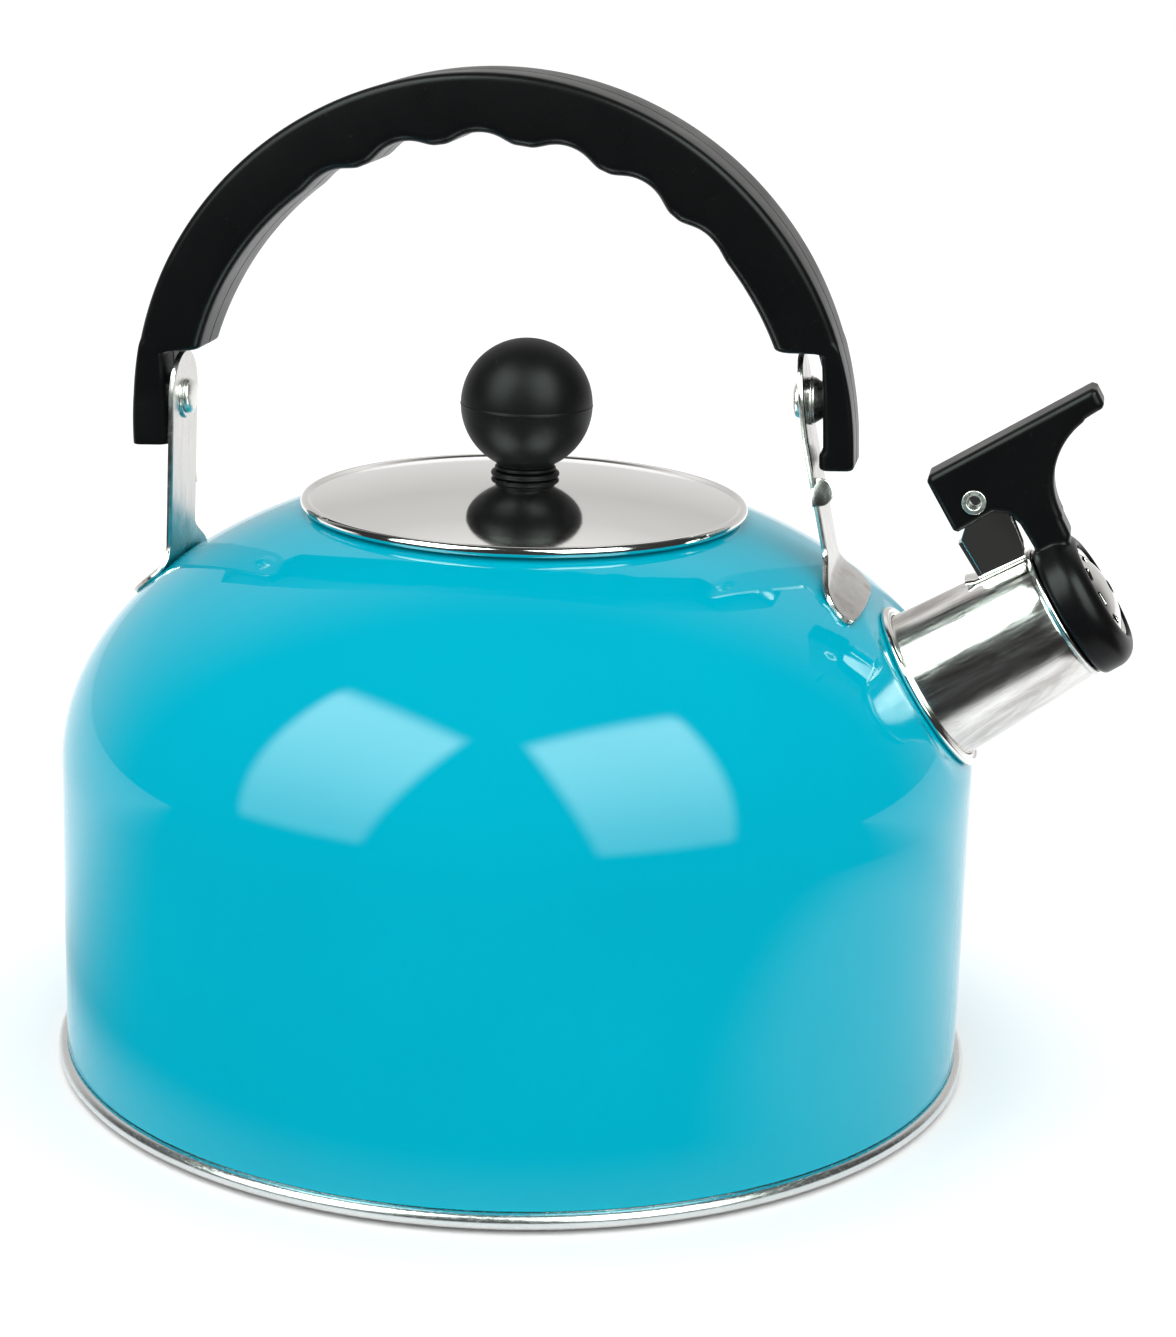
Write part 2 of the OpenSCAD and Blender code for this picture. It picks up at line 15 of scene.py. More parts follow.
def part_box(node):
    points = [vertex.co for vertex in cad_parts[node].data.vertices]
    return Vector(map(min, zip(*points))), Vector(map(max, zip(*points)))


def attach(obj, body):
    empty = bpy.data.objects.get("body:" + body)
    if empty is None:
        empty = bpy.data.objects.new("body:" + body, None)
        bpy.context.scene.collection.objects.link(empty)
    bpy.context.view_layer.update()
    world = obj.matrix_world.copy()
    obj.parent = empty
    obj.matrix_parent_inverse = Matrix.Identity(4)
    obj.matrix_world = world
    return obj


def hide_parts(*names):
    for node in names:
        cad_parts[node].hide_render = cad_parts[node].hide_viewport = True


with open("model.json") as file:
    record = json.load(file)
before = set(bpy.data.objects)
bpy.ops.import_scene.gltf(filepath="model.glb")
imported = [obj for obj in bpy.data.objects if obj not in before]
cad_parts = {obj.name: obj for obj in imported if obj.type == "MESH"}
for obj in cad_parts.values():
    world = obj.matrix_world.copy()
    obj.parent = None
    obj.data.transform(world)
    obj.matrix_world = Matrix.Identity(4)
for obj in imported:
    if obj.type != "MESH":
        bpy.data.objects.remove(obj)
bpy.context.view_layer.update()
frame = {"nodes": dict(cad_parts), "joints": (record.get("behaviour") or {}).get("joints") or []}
MM = 0.001


# ---- places taken from the frame ----

def box_mm(node):
    """Lowest and highest corner of a CAD node, in millimetres."""
    low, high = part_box(node)
    return Vector(low) / MM, Vector(high) / MM


def joint_named(name):
    return next(j for j in frame["joints"] if j["name"] == name)


# Body
SHEET = 0.6
SHOULDER_H = 58.9
WALL_H = 63.5
LIP_R = 1.5
LIP_JOIN = 44.0
LIP_DROP = 5.5
body_low, body_high = box_mm("body_shell")
BODY_R = body_high.x
WALL_FOOT = body_low.z

# Spout: s runs along the tube from its root, n up from its axis
SPOUT_TILT = radians(34)
FLANGE_H = 1.6
TUBE_R = 16.0
MOUTH_R = 13.9
TUBE_T = 0.8
TUBE_LEN = 32.4
HOLE_R = 15.6
PAD_R = 24.0
spout_way = Vector((cos(SPOUT_TILT), 0, sin(SPOUT_TILT)))
spout_up = Vector((-sin(SPOUT_TILT), 0, cos(SPOUT_TILT)))
flange_low, flange_high = box_mm("spout_flange")
spout_root = (flange_low + flange_high) / 2 - spout_way * FLANGE_H / 2
PIVOT = (28.5, 29.0)
CAP_START = TUBE_LEN + 0.3
CAP_LEN = 8.3
CAP_R = 14.9
CAP_BORE = 10.2
PLUG_R = 12.0
PLUG_LEN = 2.6
LEVER_HALF = 5.2
# Round hollow in the lever's back, above the cap
THUMB = (56.8, 17.2)
THUMB_R = 14.8
CHEEK_IN = 2.1
CHEEK_T = 0.8
CHEEK_R = 4.3

# Handle: u runs along the hinge, v up from the arch's centre
fold = joint_named("handle_fold")
HINGE_V = 8.7
ARCH_R = 74.4
handle_way = -Vector(fold["axis"])
handle_up = Vector((-handle_way.z, 0, handle_way.x))
arch_centre = Vector(fold["pos_m"]) / MM - handle_up * HINGE_V
GRIP_DEPTH = 12.4
CREST_H = 1.3
GROOVE_R = 9.0
GROOVE_DEPTH = 2.0
GROOVES = (41.7, 57, 72.3, 88.7, 104, 119.3)
STEP_V = 19.0
SKIRT_IN = (68.2, 66.6)
SKIRT_END = (-4.5, -0.5)
HEEL = 0.8
STRAP_U = (63.7, 64.4)
STRAP_T = 1.2
STRAP_HALF = 8.0
STRAP_TOP = 1.4
STRAP_LEAN = radians(4.5)
STRAP_SET = (radians(5.4), 0.0)
SET_DROP = 6.0
SET_SOFT = 1.2
EAR_DROP = 17.3
EAR_R = 2.8
EAR_REACH = 1.7
EAR_LEAN = radians(15)
BOSS_BACK = 0.3
BOSS_T = 1.95
WASHER_T = 0.5


def axes_matrix(x, y, z, origin):
    """Matrix whose columns are three axes and an origin."""
    m = Matrix.Identity(4)
    for k, column in enumerate((x, y, z, origin)):
        m.col[k][:3] = column
    return m


SIDE_Y = Vector((0, 1, 0))
HANDLE = axes_matrix(handle_way, SIDE_Y, handle_up, arch_centre)
SPOUT_SIDE = axes_matrix(spout_way, spout_up, -SIDE_Y, spout_root)
SPOUT_AXIS = axes_matrix(spout_up, -SIDE_Y, spout_way, spout_root)
# Which way along X each strap faces: the front one, then the rear one
FACING = (1, -1)
# Hinge line seen as a turning axis, for each strap
HINGE_AXIS = [HANDLE @ axes_matrix(Vector((0, 0, -sign)), SIDE_Y, Vector((sign, 0, 0)),
                                   Vector((0, 0, HINGE_V)))
              for sign in FACING]


def shoulder_z(r, grow=0.0):
    """Height of the shoulder's outside at radius r, grown outwards by grow."""
    share = np.clip(np.asarray(r) / (BODY_R + grow), 0, 1)
    return WALL_H + (SHOULDER_H + grow) * np.sqrt(1 - share ** 2)


# ---- mesh making ----

# Edges that turn by more than this many degrees are left sharp
CREASE = 38
LEVER_CREASE = 50


def arc(centre, r, start, end, steps):
    """Points on an arc, its angles in degrees."""
    return [(centre[0] + r * cos(radians(a)), centre[1] + r * sin(radians(a)))
            for a in np.linspace(start, end, steps + 1)]


def grid_faces(rows, cols, wrap_rows, wrap_cols=True):
    """Quads over a grid of vertices stored row by row."""
    return [(i * cols + j, i * cols + (j + 1) % cols,
             (i + 1) % rows * cols + (j + 1) % cols, (i + 1) % rows * cols + j)
            for i in range(rows if wrap_rows else rows - 1)
            for j in range(cols if wrap_cols else cols - 1)]


def lathe(outline, steps=160):
    """A closed outline of (radius, height) points turned round Z."""
    outline = np.asarray(outline, float)
    turn = np.arange(steps) * 2 * pi / steps
    verts = np.stack([np.outer(np.cos(turn), outline[:, 0]), np.outer(np.sin(turn), outline[:, 0]),
                      np.tile(outline[:, 1], (steps, 1))], -1)
    return verts.reshape(-1, 3), grid_faces(steps, len(outline), True)


def stacked(rings, closed=True):
    """Rings of the same number of points joined in order, with a cap on each end."""
    rings = np.asarray(rings, float)
    rows, cols = rings.shape[:2]
    faces = grid_faces(rows, cols, False)
    if closed:
        faces += [tuple(range(cols)), tuple(range((rows - 1) * cols, rows * cols))]
    return rings.reshape(-1, 3), faces


def inset(outline, amount):
    """A closed outline moved inwards, which for a counter-clockwise one is to its left."""
    p = np.asarray(outline, float)
    edge = np.roll(p, -1, 0) - p
    normal = np.stack([-edge[:, 1], edge[:, 0]], 1) / np.linalg.norm(edge, axis=1)[:, None]
    both = normal + np.roll(normal, 1, 0)
    both /= np.maximum((both ** 2).sum(1), 1.0)[:, None] / 2
    return p + both * amount


def plate(outline, low, high, edge):
    """A counter-clockwise outline raised from low to high, with its edges rounded."""
    rings = []
    for share in (0, 0.5, 1):
        angle = share * pi / 2
        rings.append((edge * (1 - sin(angle)), low + edge * (1 - cos(angle))))
    rings += [(e, low + high - z) for e, z in reversed(rings)]
    return stacked([[(x, y, z) for x, y in inset(outline, e)] for e, z in rings])


def joined(*parts):
    """Several (vertices, faces) pairs as one."""
    verts, faces, start = [], [], 0
    for v, f in parts:
        verts.append(np.asarray(v, float))
        faces += [tuple(i + start for i in face) for face in f]
        start += len(v)
    return np.concatenate(verts), faces


def moved(part, matrix):
    """A (vertices, faces) pair carried through a matrix."""
    m = np.array(matrix)
    return np.asarray(part[0], float) @ m[:3, :3].T + m[:3, 3], part[1]


def finish_mesh(mesh, sharp):
    """Merges doubles, turns the faces outwards and keeps only real corners sharp."""
    work = bmesh.new()
    work.from_mesh(mesh)
    bmesh.ops.remove_doubles(work, verts=work.verts, dist=2e-6)
    bmesh.ops.dissolve_degenerate(work, edges=work.edges, dist=1e-6)
    bmesh.ops.recalc_face_normals(work, faces=work.faces)
    for face in work.faces:
        face.smooth = True
    for edge in work.edges:
        edge.smooth = len(edge.link_faces) == 2 and edge.calc_face_angle(0) < radians(sharp)
    work.to_mesh(mesh)
    work.free()


def mesh_object(name, part, matrix=Matrix.Identity(4), sharp=CREASE):
    verts, faces = moved(part, matrix)
    mesh = bpy.data.meshes.new(name)
    mesh.from_pydata((verts * MM).tolist(), [], faces)
    finish_mesh(mesh, sharp)
    obj = bpy.data.objects.new(name, mesh)
    bpy.context.scene.collection.objects.link(obj)
    return obj


def cut(obj, part, matrix, sharp=CREASE):
    """Takes a closed shape out of an object."""
    tool = mesh_object(obj.name + ".cutter", part, matrix)
    change = obj.modifiers.new("cut", "BOOLEAN")
    change.object = tool
    change.operation = "DIFFERENCE"
    change.solver = "EXACT"
    bpy.context.view_layer.update()
    result = bpy.data.meshes.new_from_object(obj.evaluated_get(bpy.context.evaluated_depsgraph_get()))
    obj.modifiers.clear()
    obj.data = result
    bpy.data.objects.remove(tool)
    finish_mesh(obj.data, sharp)


def dress(obj, material, slot, body, *nodes):
    """Gives a piece its material, the body it moves with and the CAD nodes it stands for."""
    obj.data.materials.clear()
    obj.data.materials.append(material)
    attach(obj, body)
    if nodes:
        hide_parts(*nodes)
    return obj


def rod(r, low, high, steps=48):
    """A plain cylinder along Z, used to cut holes."""
    return lathe([(0, low), (r, low), (r, high), (0, high)], steps)


def smooth_min(a, b, k):
    h = np.maximum(k - np.abs(a - b), 0) / k
    return np.minimum(a, b) - h * h * k / 4


def smooth_max(a, b, k):
    return -smooth_min(-a, -b, k)


def smooth_step(x, low, high):
    t = np.clip((np.asarray(x, float) - low) / (high - low), 0, 1)
    return t * t * (3 - 2 * t)


def outline_field(x, y, outline):
    """Signed distance from a closed outline, negative inside it."""
    best = np.full(np.shape(x), np.inf)
    inside = np.zeros(np.shape(x), bool)
    for (ax, ay), (bx, by) in zip(outline, outline[1:] + outline[:1]):
        ex, ey = bx - ax, by - ay
        t = np.clip(((x - ax) * ex + (y - ay) * ey) / (ex * ex + ey * ey), 0, 1)
        best = np.minimum(best, np.hypot(x - ax - t * ex, y - ay - t * ey))
        if ey:
            inside ^= ((ay > y) != (by > y)) & (x < ax + ex * (y - ay) / ey)
    return np.where(inside, -best, best)


def rounded_and(a, b, r):
    """Field of the overlap of two shapes, with the edge between them rounded by r."""
    pa, pb = a + r, b + r
    return np.hypot(np.maximum(pa, 0), np.maximum(pb, 0)) - r + np.minimum(np.maximum(pa, pb), 0)


def surface_net(field, low, high, step):
    """Mesh of the surface where field(x, y, z) is zero: one vertex in each cell that it crosses."""
    counts = [int(np.ceil((h - l) / step)) + 1 for l, h in zip(low, high)]
    axes = [l + step * np.arange(c) for l, c in zip(low, counts)]
    value = field(*np.meshgrid(*axes, indexing="ij"))
    shape = [c - 1 for c in counts]
    total, hits = np.zeros(shape + [3]), np.zeros(shape)
    crossings = []
    for axis in range(3):
        a = np.take(value, np.arange(shape[axis]), axis)
        b = np.take(value, np.arange(1, counts[axis]), axis)
        crossed = (a < 0) != (b < 0)
        share = np.where(crossed, a / np.where(crossed, a - b, 1), 0)
        crossings.append(crossed)
        p, q = [k for k in range(3) if k != axis]
        for dp in (0, 1):
            for dq in (0, 1):
                window = [slice(None)] * 3
                window[p] = slice(dp, shape[p] + dp)
                window[q] = slice(dq, shape[q] + dq)
                hit = crossed[tuple(window)]
                hits += hit
                total[..., axis] += hit * share[tuple(window)]
                total[..., p] += hit * dp
                total[..., q] += hit * dq
    cells = np.argwhere(hits > 0)
    index = np.full(shape, -1)
    index[tuple(cells.T)] = np.arange(len(cells))
    verts = np.array(low) + step * (cells + total[tuple(cells.T)] / hits[tuple(cells.T)][:, None])
    faces = []
    for axis in range(3):
        p, q = [k for k in range(3) if k != axis]
        where = np.argwhere(crossings[axis])
        inner = (where[:, [p, q]] > 0).all(1) & (where[:, [p, q]] < [shape[p], shape[q]]).all(1)
        where = where[inner]
        corners = []
        for dp, dq in ((1, 1), (0, 1), (0, 0), (1, 0)):
            cell = where.copy()
            cell[:, p] -= dp
            cell[:, q] -= dq
            corners.append(index[tuple(cell.T)])
        faces += np.stack(corners, 1).tolist()
    reach = step / 20
    for _ in range(4):
        rise = [field(*(verts + d).T) - field(*(verts - d).T) for d in np.eye(3) * reach]
        slope = np.stack(rise, 1) / (2 * reach)
        verts = verts - (field(*verts.T) / np.maximum((slope ** 2).sum(1), 0.3))[:, None] * slope
    return verts, [tuple(f) for f in faces]


# ---- materials ----

class Nodes:
    """Short calls for building one material's nodes."""

    def __init__(self, name):
        self.material = bpy.data.materials.new(name)
        self.material.use_nodes = True
        self.tree = self.material.node_tree
        self.shader = next(n for n in self.tree.nodes if n.type == "BSDF_PRINCIPLED")
        self.where = self.tree.nodes.new("ShaderNodeTexCoord").outputs["Object"]

    def link(self, source, target):
        self.tree.links.new(source, target)

    def set(self, **values):
        for key, value in values.items():
            name = key.replace("_", " ").title()
            socket = self.shader.inputs[name.replace("Ior", "IOR")]
            if isinstance(value, bpy.types.NodeSocket):
                self.link(value, socket)
            else:
                socket.default_value = value

    def mapped(self, scale=(1, 1, 1), turn=(0, 0, 0)):
        node = self.tree.nodes.new("ShaderNodeMapping")
        node.vector_type = "POINT"
        self.link(self.where, node.inputs["Vector"])
        node.inputs["Scale"].default_value = scale
        if any(turn):
            first = self.tree.nodes.new("ShaderNodeMapping")
            self.link(self.where, first.inputs["Vector"])
            first.inputs["Rotation"].default_value = turn
            self.link(first.outputs["Vector"], node.inputs["Vector"])
        return node.outputs["Vector"]

    def noise(self, scale, detail=3.0, roughness=0.5, where=None, distortion=0.0):
        node = self.tree.nodes.new("ShaderNodeTexNoise")
        self.link(where or self.where, node.inputs["Vector"])
        node.inputs["Scale"].default_value = scale
        node.inputs["Detail"].default_value = detail
        node.inputs["Roughness"].default_value = roughness
        node.inputs["Distortion"].default_value = distortion
        return node.outputs["Fac"]

    def range(self, value, low, high, to_low, to_high):
        node = self.tree.nodes.new("ShaderNodeMapRange")
        self.link(value, node.inputs["Value"])
        for key, number in zip(("From Min", "From Max", "To Min", "To Max"), (low, high, to_low, to_high)):
            node.inputs[key].default_value = number
        return node.outputs["Result"]

    def math(self, operation, a, b):
        node = self.tree.nodes.new("ShaderNodeMath")
        node.operation = operation
        for k, value in enumerate((a, b)):
            if isinstance(value, bpy.types.NodeSocket):
                self.link(value, node.inputs[k])
            else:
                node.inputs[k].default_value = value
        return node.outputs["Value"]

    def mix(self, factor, a, b):
        """Mix of two colours, each a socket or an (r, g, b)."""
        node = self.tree.nodes.new("ShaderNodeMix")
        node.data_type = "RGBA"
        self.link(factor, node.inputs["Factor"])
        sockets = [s for s in node.inputs if s.type == "RGBA"]
        for socket, value in zip(sockets, (a, b)):
            if isinstance(value, bpy.types.NodeSocket):
                self.link(value, socket)
            else:
                socket.default_value = (*value, 1)
        return next(s for s in node.outputs if s.type == "RGBA")

    def bump(self, height, strength, distance):
        node = self.tree.nodes.new("ShaderNodeBump")
        node.inputs["Strength"].default_value = strength
        node.inputs["Distance"].default_value = distance
        self.link(height, node.inputs["Height"])
        self.link(node.outputs["Normal"], self.shader.inputs["Normal"])

    def coordinate(self, axis):
        node = self.tree.nodes.new("ShaderNodeSeparateXYZ")
        self.link(self.where, node.inputs["Vector"])
        return node.outputs[axis]


def lacquer():
    """Glossy turquoise enamel with a faint orange peel."""
    n = Nodes("turquoise_lacquer")
    cloud = n.noise(22, 2)
    n.set(base_color=n.mix(cloud, (0.0, 0.36, 0.49), (0.0, 0.395, 0.53)),
          roughness=n.range(n.noise(140, 4), 0.3, 0.7, 0.10, 0.19),
          specular_ior_level=0.0, coat_weight=1.0, coat_ior=1.33, coat_roughness=0.03)
    n.bump(n.noise(420, 2), 0.035, 0.0002)
    return n.material


def mirror_steel():
    """Polished stainless steel with hairline rubbing."""
    n = Nodes("mirror_steel")
    rub = n.noise(900, 4, 0.6, n.mapped((0.06, 1, 1), (0, 0, radians(24))))
    smear = n.noise(28, 3, 0.55)
    n.set(metallic=1.0, base_color=n.mix(smear, (0.80, 0.79, 0.77), (0.90, 0.89, 0.87)),
          roughness=n.range(n.math("ADD", rub, smear), 0.7, 1.3, 0.035, 0.10))
    n.bump(rub, 0.03, 0.00004)
    return n.material


def tube_steel():
    """Drawn steel, its polishing streaks running along the spout."""
    n = Nodes("tube_steel")
    lines = n.noise(1500, 4, 0.65, n.mapped((0.04, 1, 1), (0, SPOUT_TILT, 0)))
    streak = n.noise(190, 5, 0.7, n.mapped((0.22, 1, 1), (0, SPOUT_TILT, 0)), 0.6)
    tone_and_painted_shade = n.range(streak, 0.35, 0.65, 0.0, 1.0)
    n.set(metallic=1.0, base_color=n.mix(tone_and_painted_shade, (0.50, 0.47, 0.45), (0.90, 0.89, 0.87)),
          roughness=n.range(n.math("ADD", lines, streak), 0.7, 1.35, 0.10, 0.26))
    n.bump(n.math("ADD", lines, streak), 0.16, 0.00012)
    return n.material


def rim_steel():
    """Satin rolled bead, spun round the body."""
    n = Nodes("rim_steel")
    grain = n.noise(700, 4, 0.6, n.mapped((1, 1, 8)))
    n.set(metallic=1.0, base_color=n.mix(n.noise(60, 3), (0.66, 0.66, 0.66), (0.82, 0.82, 0.81)),
          roughness=n.range(grain, 0.3, 0.7, 0.16, 0.30))
    n.bump(grain, 0.04, 0.00004)
    return n.material


def strap_steel():
    """Pressed strap steel: cloudy polish, scuffs, and brown painted shade in patches towards the foot, where
    the strap meets the shoulder.
    """
    n = Nodes("strap_steel")
    cloud = n.noise(120, 5, 0.65, distortion=0.8)
    scuff = n.noise(600, 5, 0.7, n.mapped((1, 1, 0.12)))
    tone = n.mix(cloud, (0.42, 0.41, 0.39), (0.74, 0.73, 0.71))
    # Painted shade: brown patches darken the strap towards its foot, where it meets the shoulder
    foot_shade_z = (shoulder_z(66).item() + 5) * MM
    near = n.range(n.coordinate("Z"), foot_shade_z, foot_shade_z - 0.012, 0.0, 1.0)
    tone_and_painted_shade = n.math("MULTIPLY", near, n.range(n.noise(210, 4, 0.6), 0.52, 0.72, 0.0, 1.0))
    # The brown (0.30, 0.20, 0.15) is the colour of the painted shade near the foot
    n.set(metallic=1.0, base_color=n.mix(tone_and_painted_shade, tone, (0.30, 0.20, 0.15)),
          roughness=n.range(n.math("ADD", cloud, scuff), 0.7, 1.35, 0.12, 0.36))
    n.bump(n.math("ADD", cloud, scuff), 0.10, 0.00012)
    return n.material


def plain_steel(name, low, high, rough):
    """Steel of the small and hidden parts, in two tones."""
    n = Nodes(name)
    grain = n.noise(1300, 4, 0.6)
    n.set(metallic=1.0, base_color=n.mix(n.noise(260, 3), low, high),
          roughness=n.range(grain, 0.3, 0.7, rough * 0.7, rough * 1.4))
    n.bump(grain, 0.05, 0.00004)
    return n.material


def black_plastic(name, rough, gloss, peak):
    """Satin black phenolic with the fine pale speckle of its filler."""
    n = Nodes(name)
    fleck = n.noise(2600, 2, 0.5)
    dust = n.range(n.noise(900, 4, 0.7), 0.66, 0.80, 0.0, 1.0)
    haze = n.noise(70, 4, 0.6)
    speck = n.math("MAXIMUM", n.range(fleck, 0.68, 0.78, 0.0, 0.5), dust)
    n.set(base_color=n.mix(speck, (0.0045, 0.0045, 0.005), (peak, peak, peak)),
          roughness=n.range(haze, 0.3, 0.7, rough * 0.86, rough * 1.18), ior=1.5,
          specular_ior_level=gloss)
    n.bump(n.math("ADD", fleck, n.noise(700, 3)), 0.10, 0.00006)
    return n.material


LACQUER = lacquer()
MIRROR = mirror_steel()
TUBE = tube_steel()
RIM = rim_steel()
STRAP = strap_steel()
SATIN = plain_steel("satin_steel", (0.52, 0.52, 0.52), (0.66, 0.66, 0.65), 0.34)
FASTENER = plain_steel("fastener_steel", (0.76, 0.74, 0.71), (0.93, 0.91, 0.88), 0.32)
ALLOY = plain_steel("disc_alloy", (0.62, 0.63, 0.65), (0.74, 0.75, 0.77), 0.42)
BRASS = plain_steel("insert_brass", (0.60, 0.44, 0.19), (0.74, 0.56, 0.27), 0.28)
GRIP = black_plastic("grip_black", 0.30, 0.12, 0.028)
KNOB = black_plastic("knob_black", 0.42, 0.12, 0.05)


# ---- body, base and spout ----

def body():
    """Thin lacquered shell: wall, shoulder and rolled neck, with a pad and a hole for the spout."""
    join_z = float(shoulder_z(LIP_JOIN))
    slope = degrees(atan2(LIP_JOIN * SHOULDER_H ** 2, (join_z - WALL_H) * BODY_R ** 2))
    lip = (LIP_JOIN - LIP_R * sin(radians(slope)), join_z - LIP_R * cos(radians(slope)))
    neck = lip[0] - LIP_R
    foot = lip[1] - LIP_DROP

    def rise(grow, steps):
        end = np.arccos(LIP_JOIN / (BODY_R + grow))
        return [((BODY_R + grow) * cos(t), WALL_H + (SHOULDER_H + grow) * sin(t))
                for t in np.linspace(0, end, steps)]

    outer = [(BODY_R - 0.3, WALL_FOOT), (BODY_R, WALL_FOOT + 0.3)]
    outer += [(BODY_R, z) for z in np.linspace(WALL_FOOT + 4, WALL_H - 3, 10)] + rise(0, 90)
    outer += arc(lip, LIP_R, 90 - slope, 180, 12)[1:] + [(neck, foot)]
    inner = [(neck + SHEET, foot)] + arc(lip, LIP_R - SHEET, 180, 90 - slope, 8)
    inner += rise(-SHEET, 60)[::-1] + [(BODY_R - SHEET, WALL_FOOT)]
    verts, faces = lathe(outer + inner, 360)
    # The shoulder is pressed flat under the spout's flange
    local = (verts - np.array(spout_root)) @ np.array([spout_way, spout_up, -SIDE_Y]).T
    depth = np.tile([0.0] * len(outer) + [-SHEET] * len(inner), 360)
    reach = np.hypot(local[:, 1], local[:, 2])
    pressed = smooth_min(local[:, 0] - depth, np.zeros(len(verts)), 1.6) + depth
    share = (1 - smooth_step(reach, PAD_R - 2, PAD_R + 2)) * (local[:, 0] > -8)
    verts = verts + np.outer(share * (pressed - local[:, 0]), np.array(spout_way))
    shell = mesh_object("kettle_body", (verts, faces))
    cut(shell, rod(HOLE_R, -12, 12, 96), SPOUT_AXIS)
    dress(shell, LACQUER, "lacquer", "kettle", "body_shell")
    shell.data.materials.append(SATIN)
    for face in shell.data.polygons:
        middle = Vector(face.center)
        r = middle.xy.length / MM
        z = middle.z / MM
        wall = BODY_R - r if z < WALL_H else float(shoulder_z(r)) - z
        radial = face.normal.dot(Vector((middle.x, middle.y, max(0, middle.z - WALL_H * MM))).normalized())
        face.material_index = int(radial < -0.3 and wall > SHEET / 2)


def base_rim():
    """Pan floor with its upstand inside the wall and a rolled bead below it."""
    high = box_mm("base_pan")[1]
    bead_r, sheet = 1.6, 0.5
    bead = high.x - bead_r
    upstand = BODY_R - SHEET - 0.05
    floor = high.z - 2.9
    outline = [(0, floor), (upstand - 0.4, floor), (bead - 1.3, 1.2)]
    outline += arc((bead, bead_r + 0.4), bead_r, -140, 150, 26)
    outline += [(upstand, floor + 0.9), (upstand, high.z), (upstand - sheet, high.z),
                (upstand - sheet, floor + sheet), (0, floor + sheet)]
    dress(mesh_object("base_rim", lathe(outline, 256)), RIM, "rim_steel", "kettle", "base_pan")


def tube_radius(s):
    return TUBE_R + (MOUTH_R - TUBE_R) * s / TUBE_LEN


def spout():
    """Conical tube with a rolled lip, and the stepped ring round its root."""
    mouth = TUBE_LEN - 0.5
    neck = HOLE_R - 0.1
    outline = [(neck - TUBE_T, -3), (neck, -3), (neck, -0.05), (TUBE_R, -0.05), (TUBE_R, 0.2)]
    outline += [(tube_radius(s), s) for s in np.linspace(1, mouth - 1.2, 12)]
    outline += [(tube_radius(mouth) - 0.12, mouth - 0.75), (tube_radius(mouth) + 0.02, mouth - 0.5)]
    outline += arc((MOUTH_R - 0.1, mouth), 0.5, -60, 180, 12)
    outline += [(tube_radius(s) - TUBE_T, s) for s in np.linspace(mouth - 0.4, 0, 8)]
    pipe = mesh_object("spout_pipe", lathe(outline, 180), SPOUT_AXIS)
    dress(pipe, TUBE, "tube_steel", "kettle", "spout_tube")
    edge = flange_high.y - 0.8
    ring = [(TUBE_R + 0.05, 0), (edge, 0)] + arc((edge, 0.8), 0.8, -90, 105, 14)
    ring += [(edge - 0.55, 1.32), (edge - 0.75, 1.12)] + arc((TUBE_R + 0.45, 1.15), 0.42, 20, 170, 10)
    collar = mesh_object("spout_ring", lathe(ring, 180), SPOUT_AXIS)
    dress(collar, MIRROR, "tube_steel", "kettle", "spout_flange")


# ---- lid and knob ----

def lid():
    """Shallow dished cover with a rolled edge."""
    low, high = box_mm("lid_shell")
    bead = 1.1
    edge = high.x - bead
    seat = low.z + bead
    sag = 5.2

    def top(r):
        return high.z - sag * (r / edge) ** 2

    radii = np.linspace(2.2, edge - 1.0, 40)
    sheet = 0.5
    outline = [(r, top(r)) for r in radii] + arc((edge, seat), bead, 128, -180, 26)
    outline += [(r, top(r) - sheet) for r in radii[::-1]]
    dress(mesh_object("lid_cover", lathe(outline, 256)), MIRROR, "lid_steel", "lid", "lid_shell")


def knob():
    """Ball knob with a faint mould seam and a grooved neck, and the ring that it stands on."""
    low, high = box_mm("knob")
    r = high.x
    middle = high.z - r
    neck = 5.8
    seam = 0.10
    join = degrees(asin((neck + 0.7) / r))
    ball = []
    rises = [np.linspace(join - 90, -4, 26), np.linspace(-3, 3, 25), np.linspace(4, 90, 32)]
    for a in np.concatenate(rises):
        ridge = seam * np.exp(-(a / 0.7) ** 2)
        ball.append(((r + ridge) * cos(radians(a)), middle + (r + ridge) * sin(radians(a))))
    ball[-1] = (0, high.z)
    foot = low.z
    outline = [(0, foot), (neck - 0.5, foot)] + arc((neck - 0.05, foot + 0.55), 0.5, -90, 70, 8)
    outline += [(neck - 0.35, foot + 1.12)] + arc((neck - 0.25, foot + 1.75), 0.5, -70, 70, 8)
    outline += [(neck - 0.5, foot + 2.35), (neck + 0.02, ball[0][1] - 0.75),
                (neck + 0.25, ball[0][1] - 0.3)]
    dress(mesh_object("ball_knob", lathe(outline + ball, 160)), KNOB, "knob_black", "lid", "knob")
    low, high = box_mm("knob_collar")
    half = (high.z - low.z) / 2
    ring = [(2.2, low.z), (high.x - half, low.z)] + arc((high.x - half, low.z + half), half, -90, 90, 12)
    ring += [(2.2, high.z)]
    dress(mesh_object("knob_ring", lathe(ring, 96)), KNOB, "knob_black", "lid", "knob_collar")


# ---- handle ----

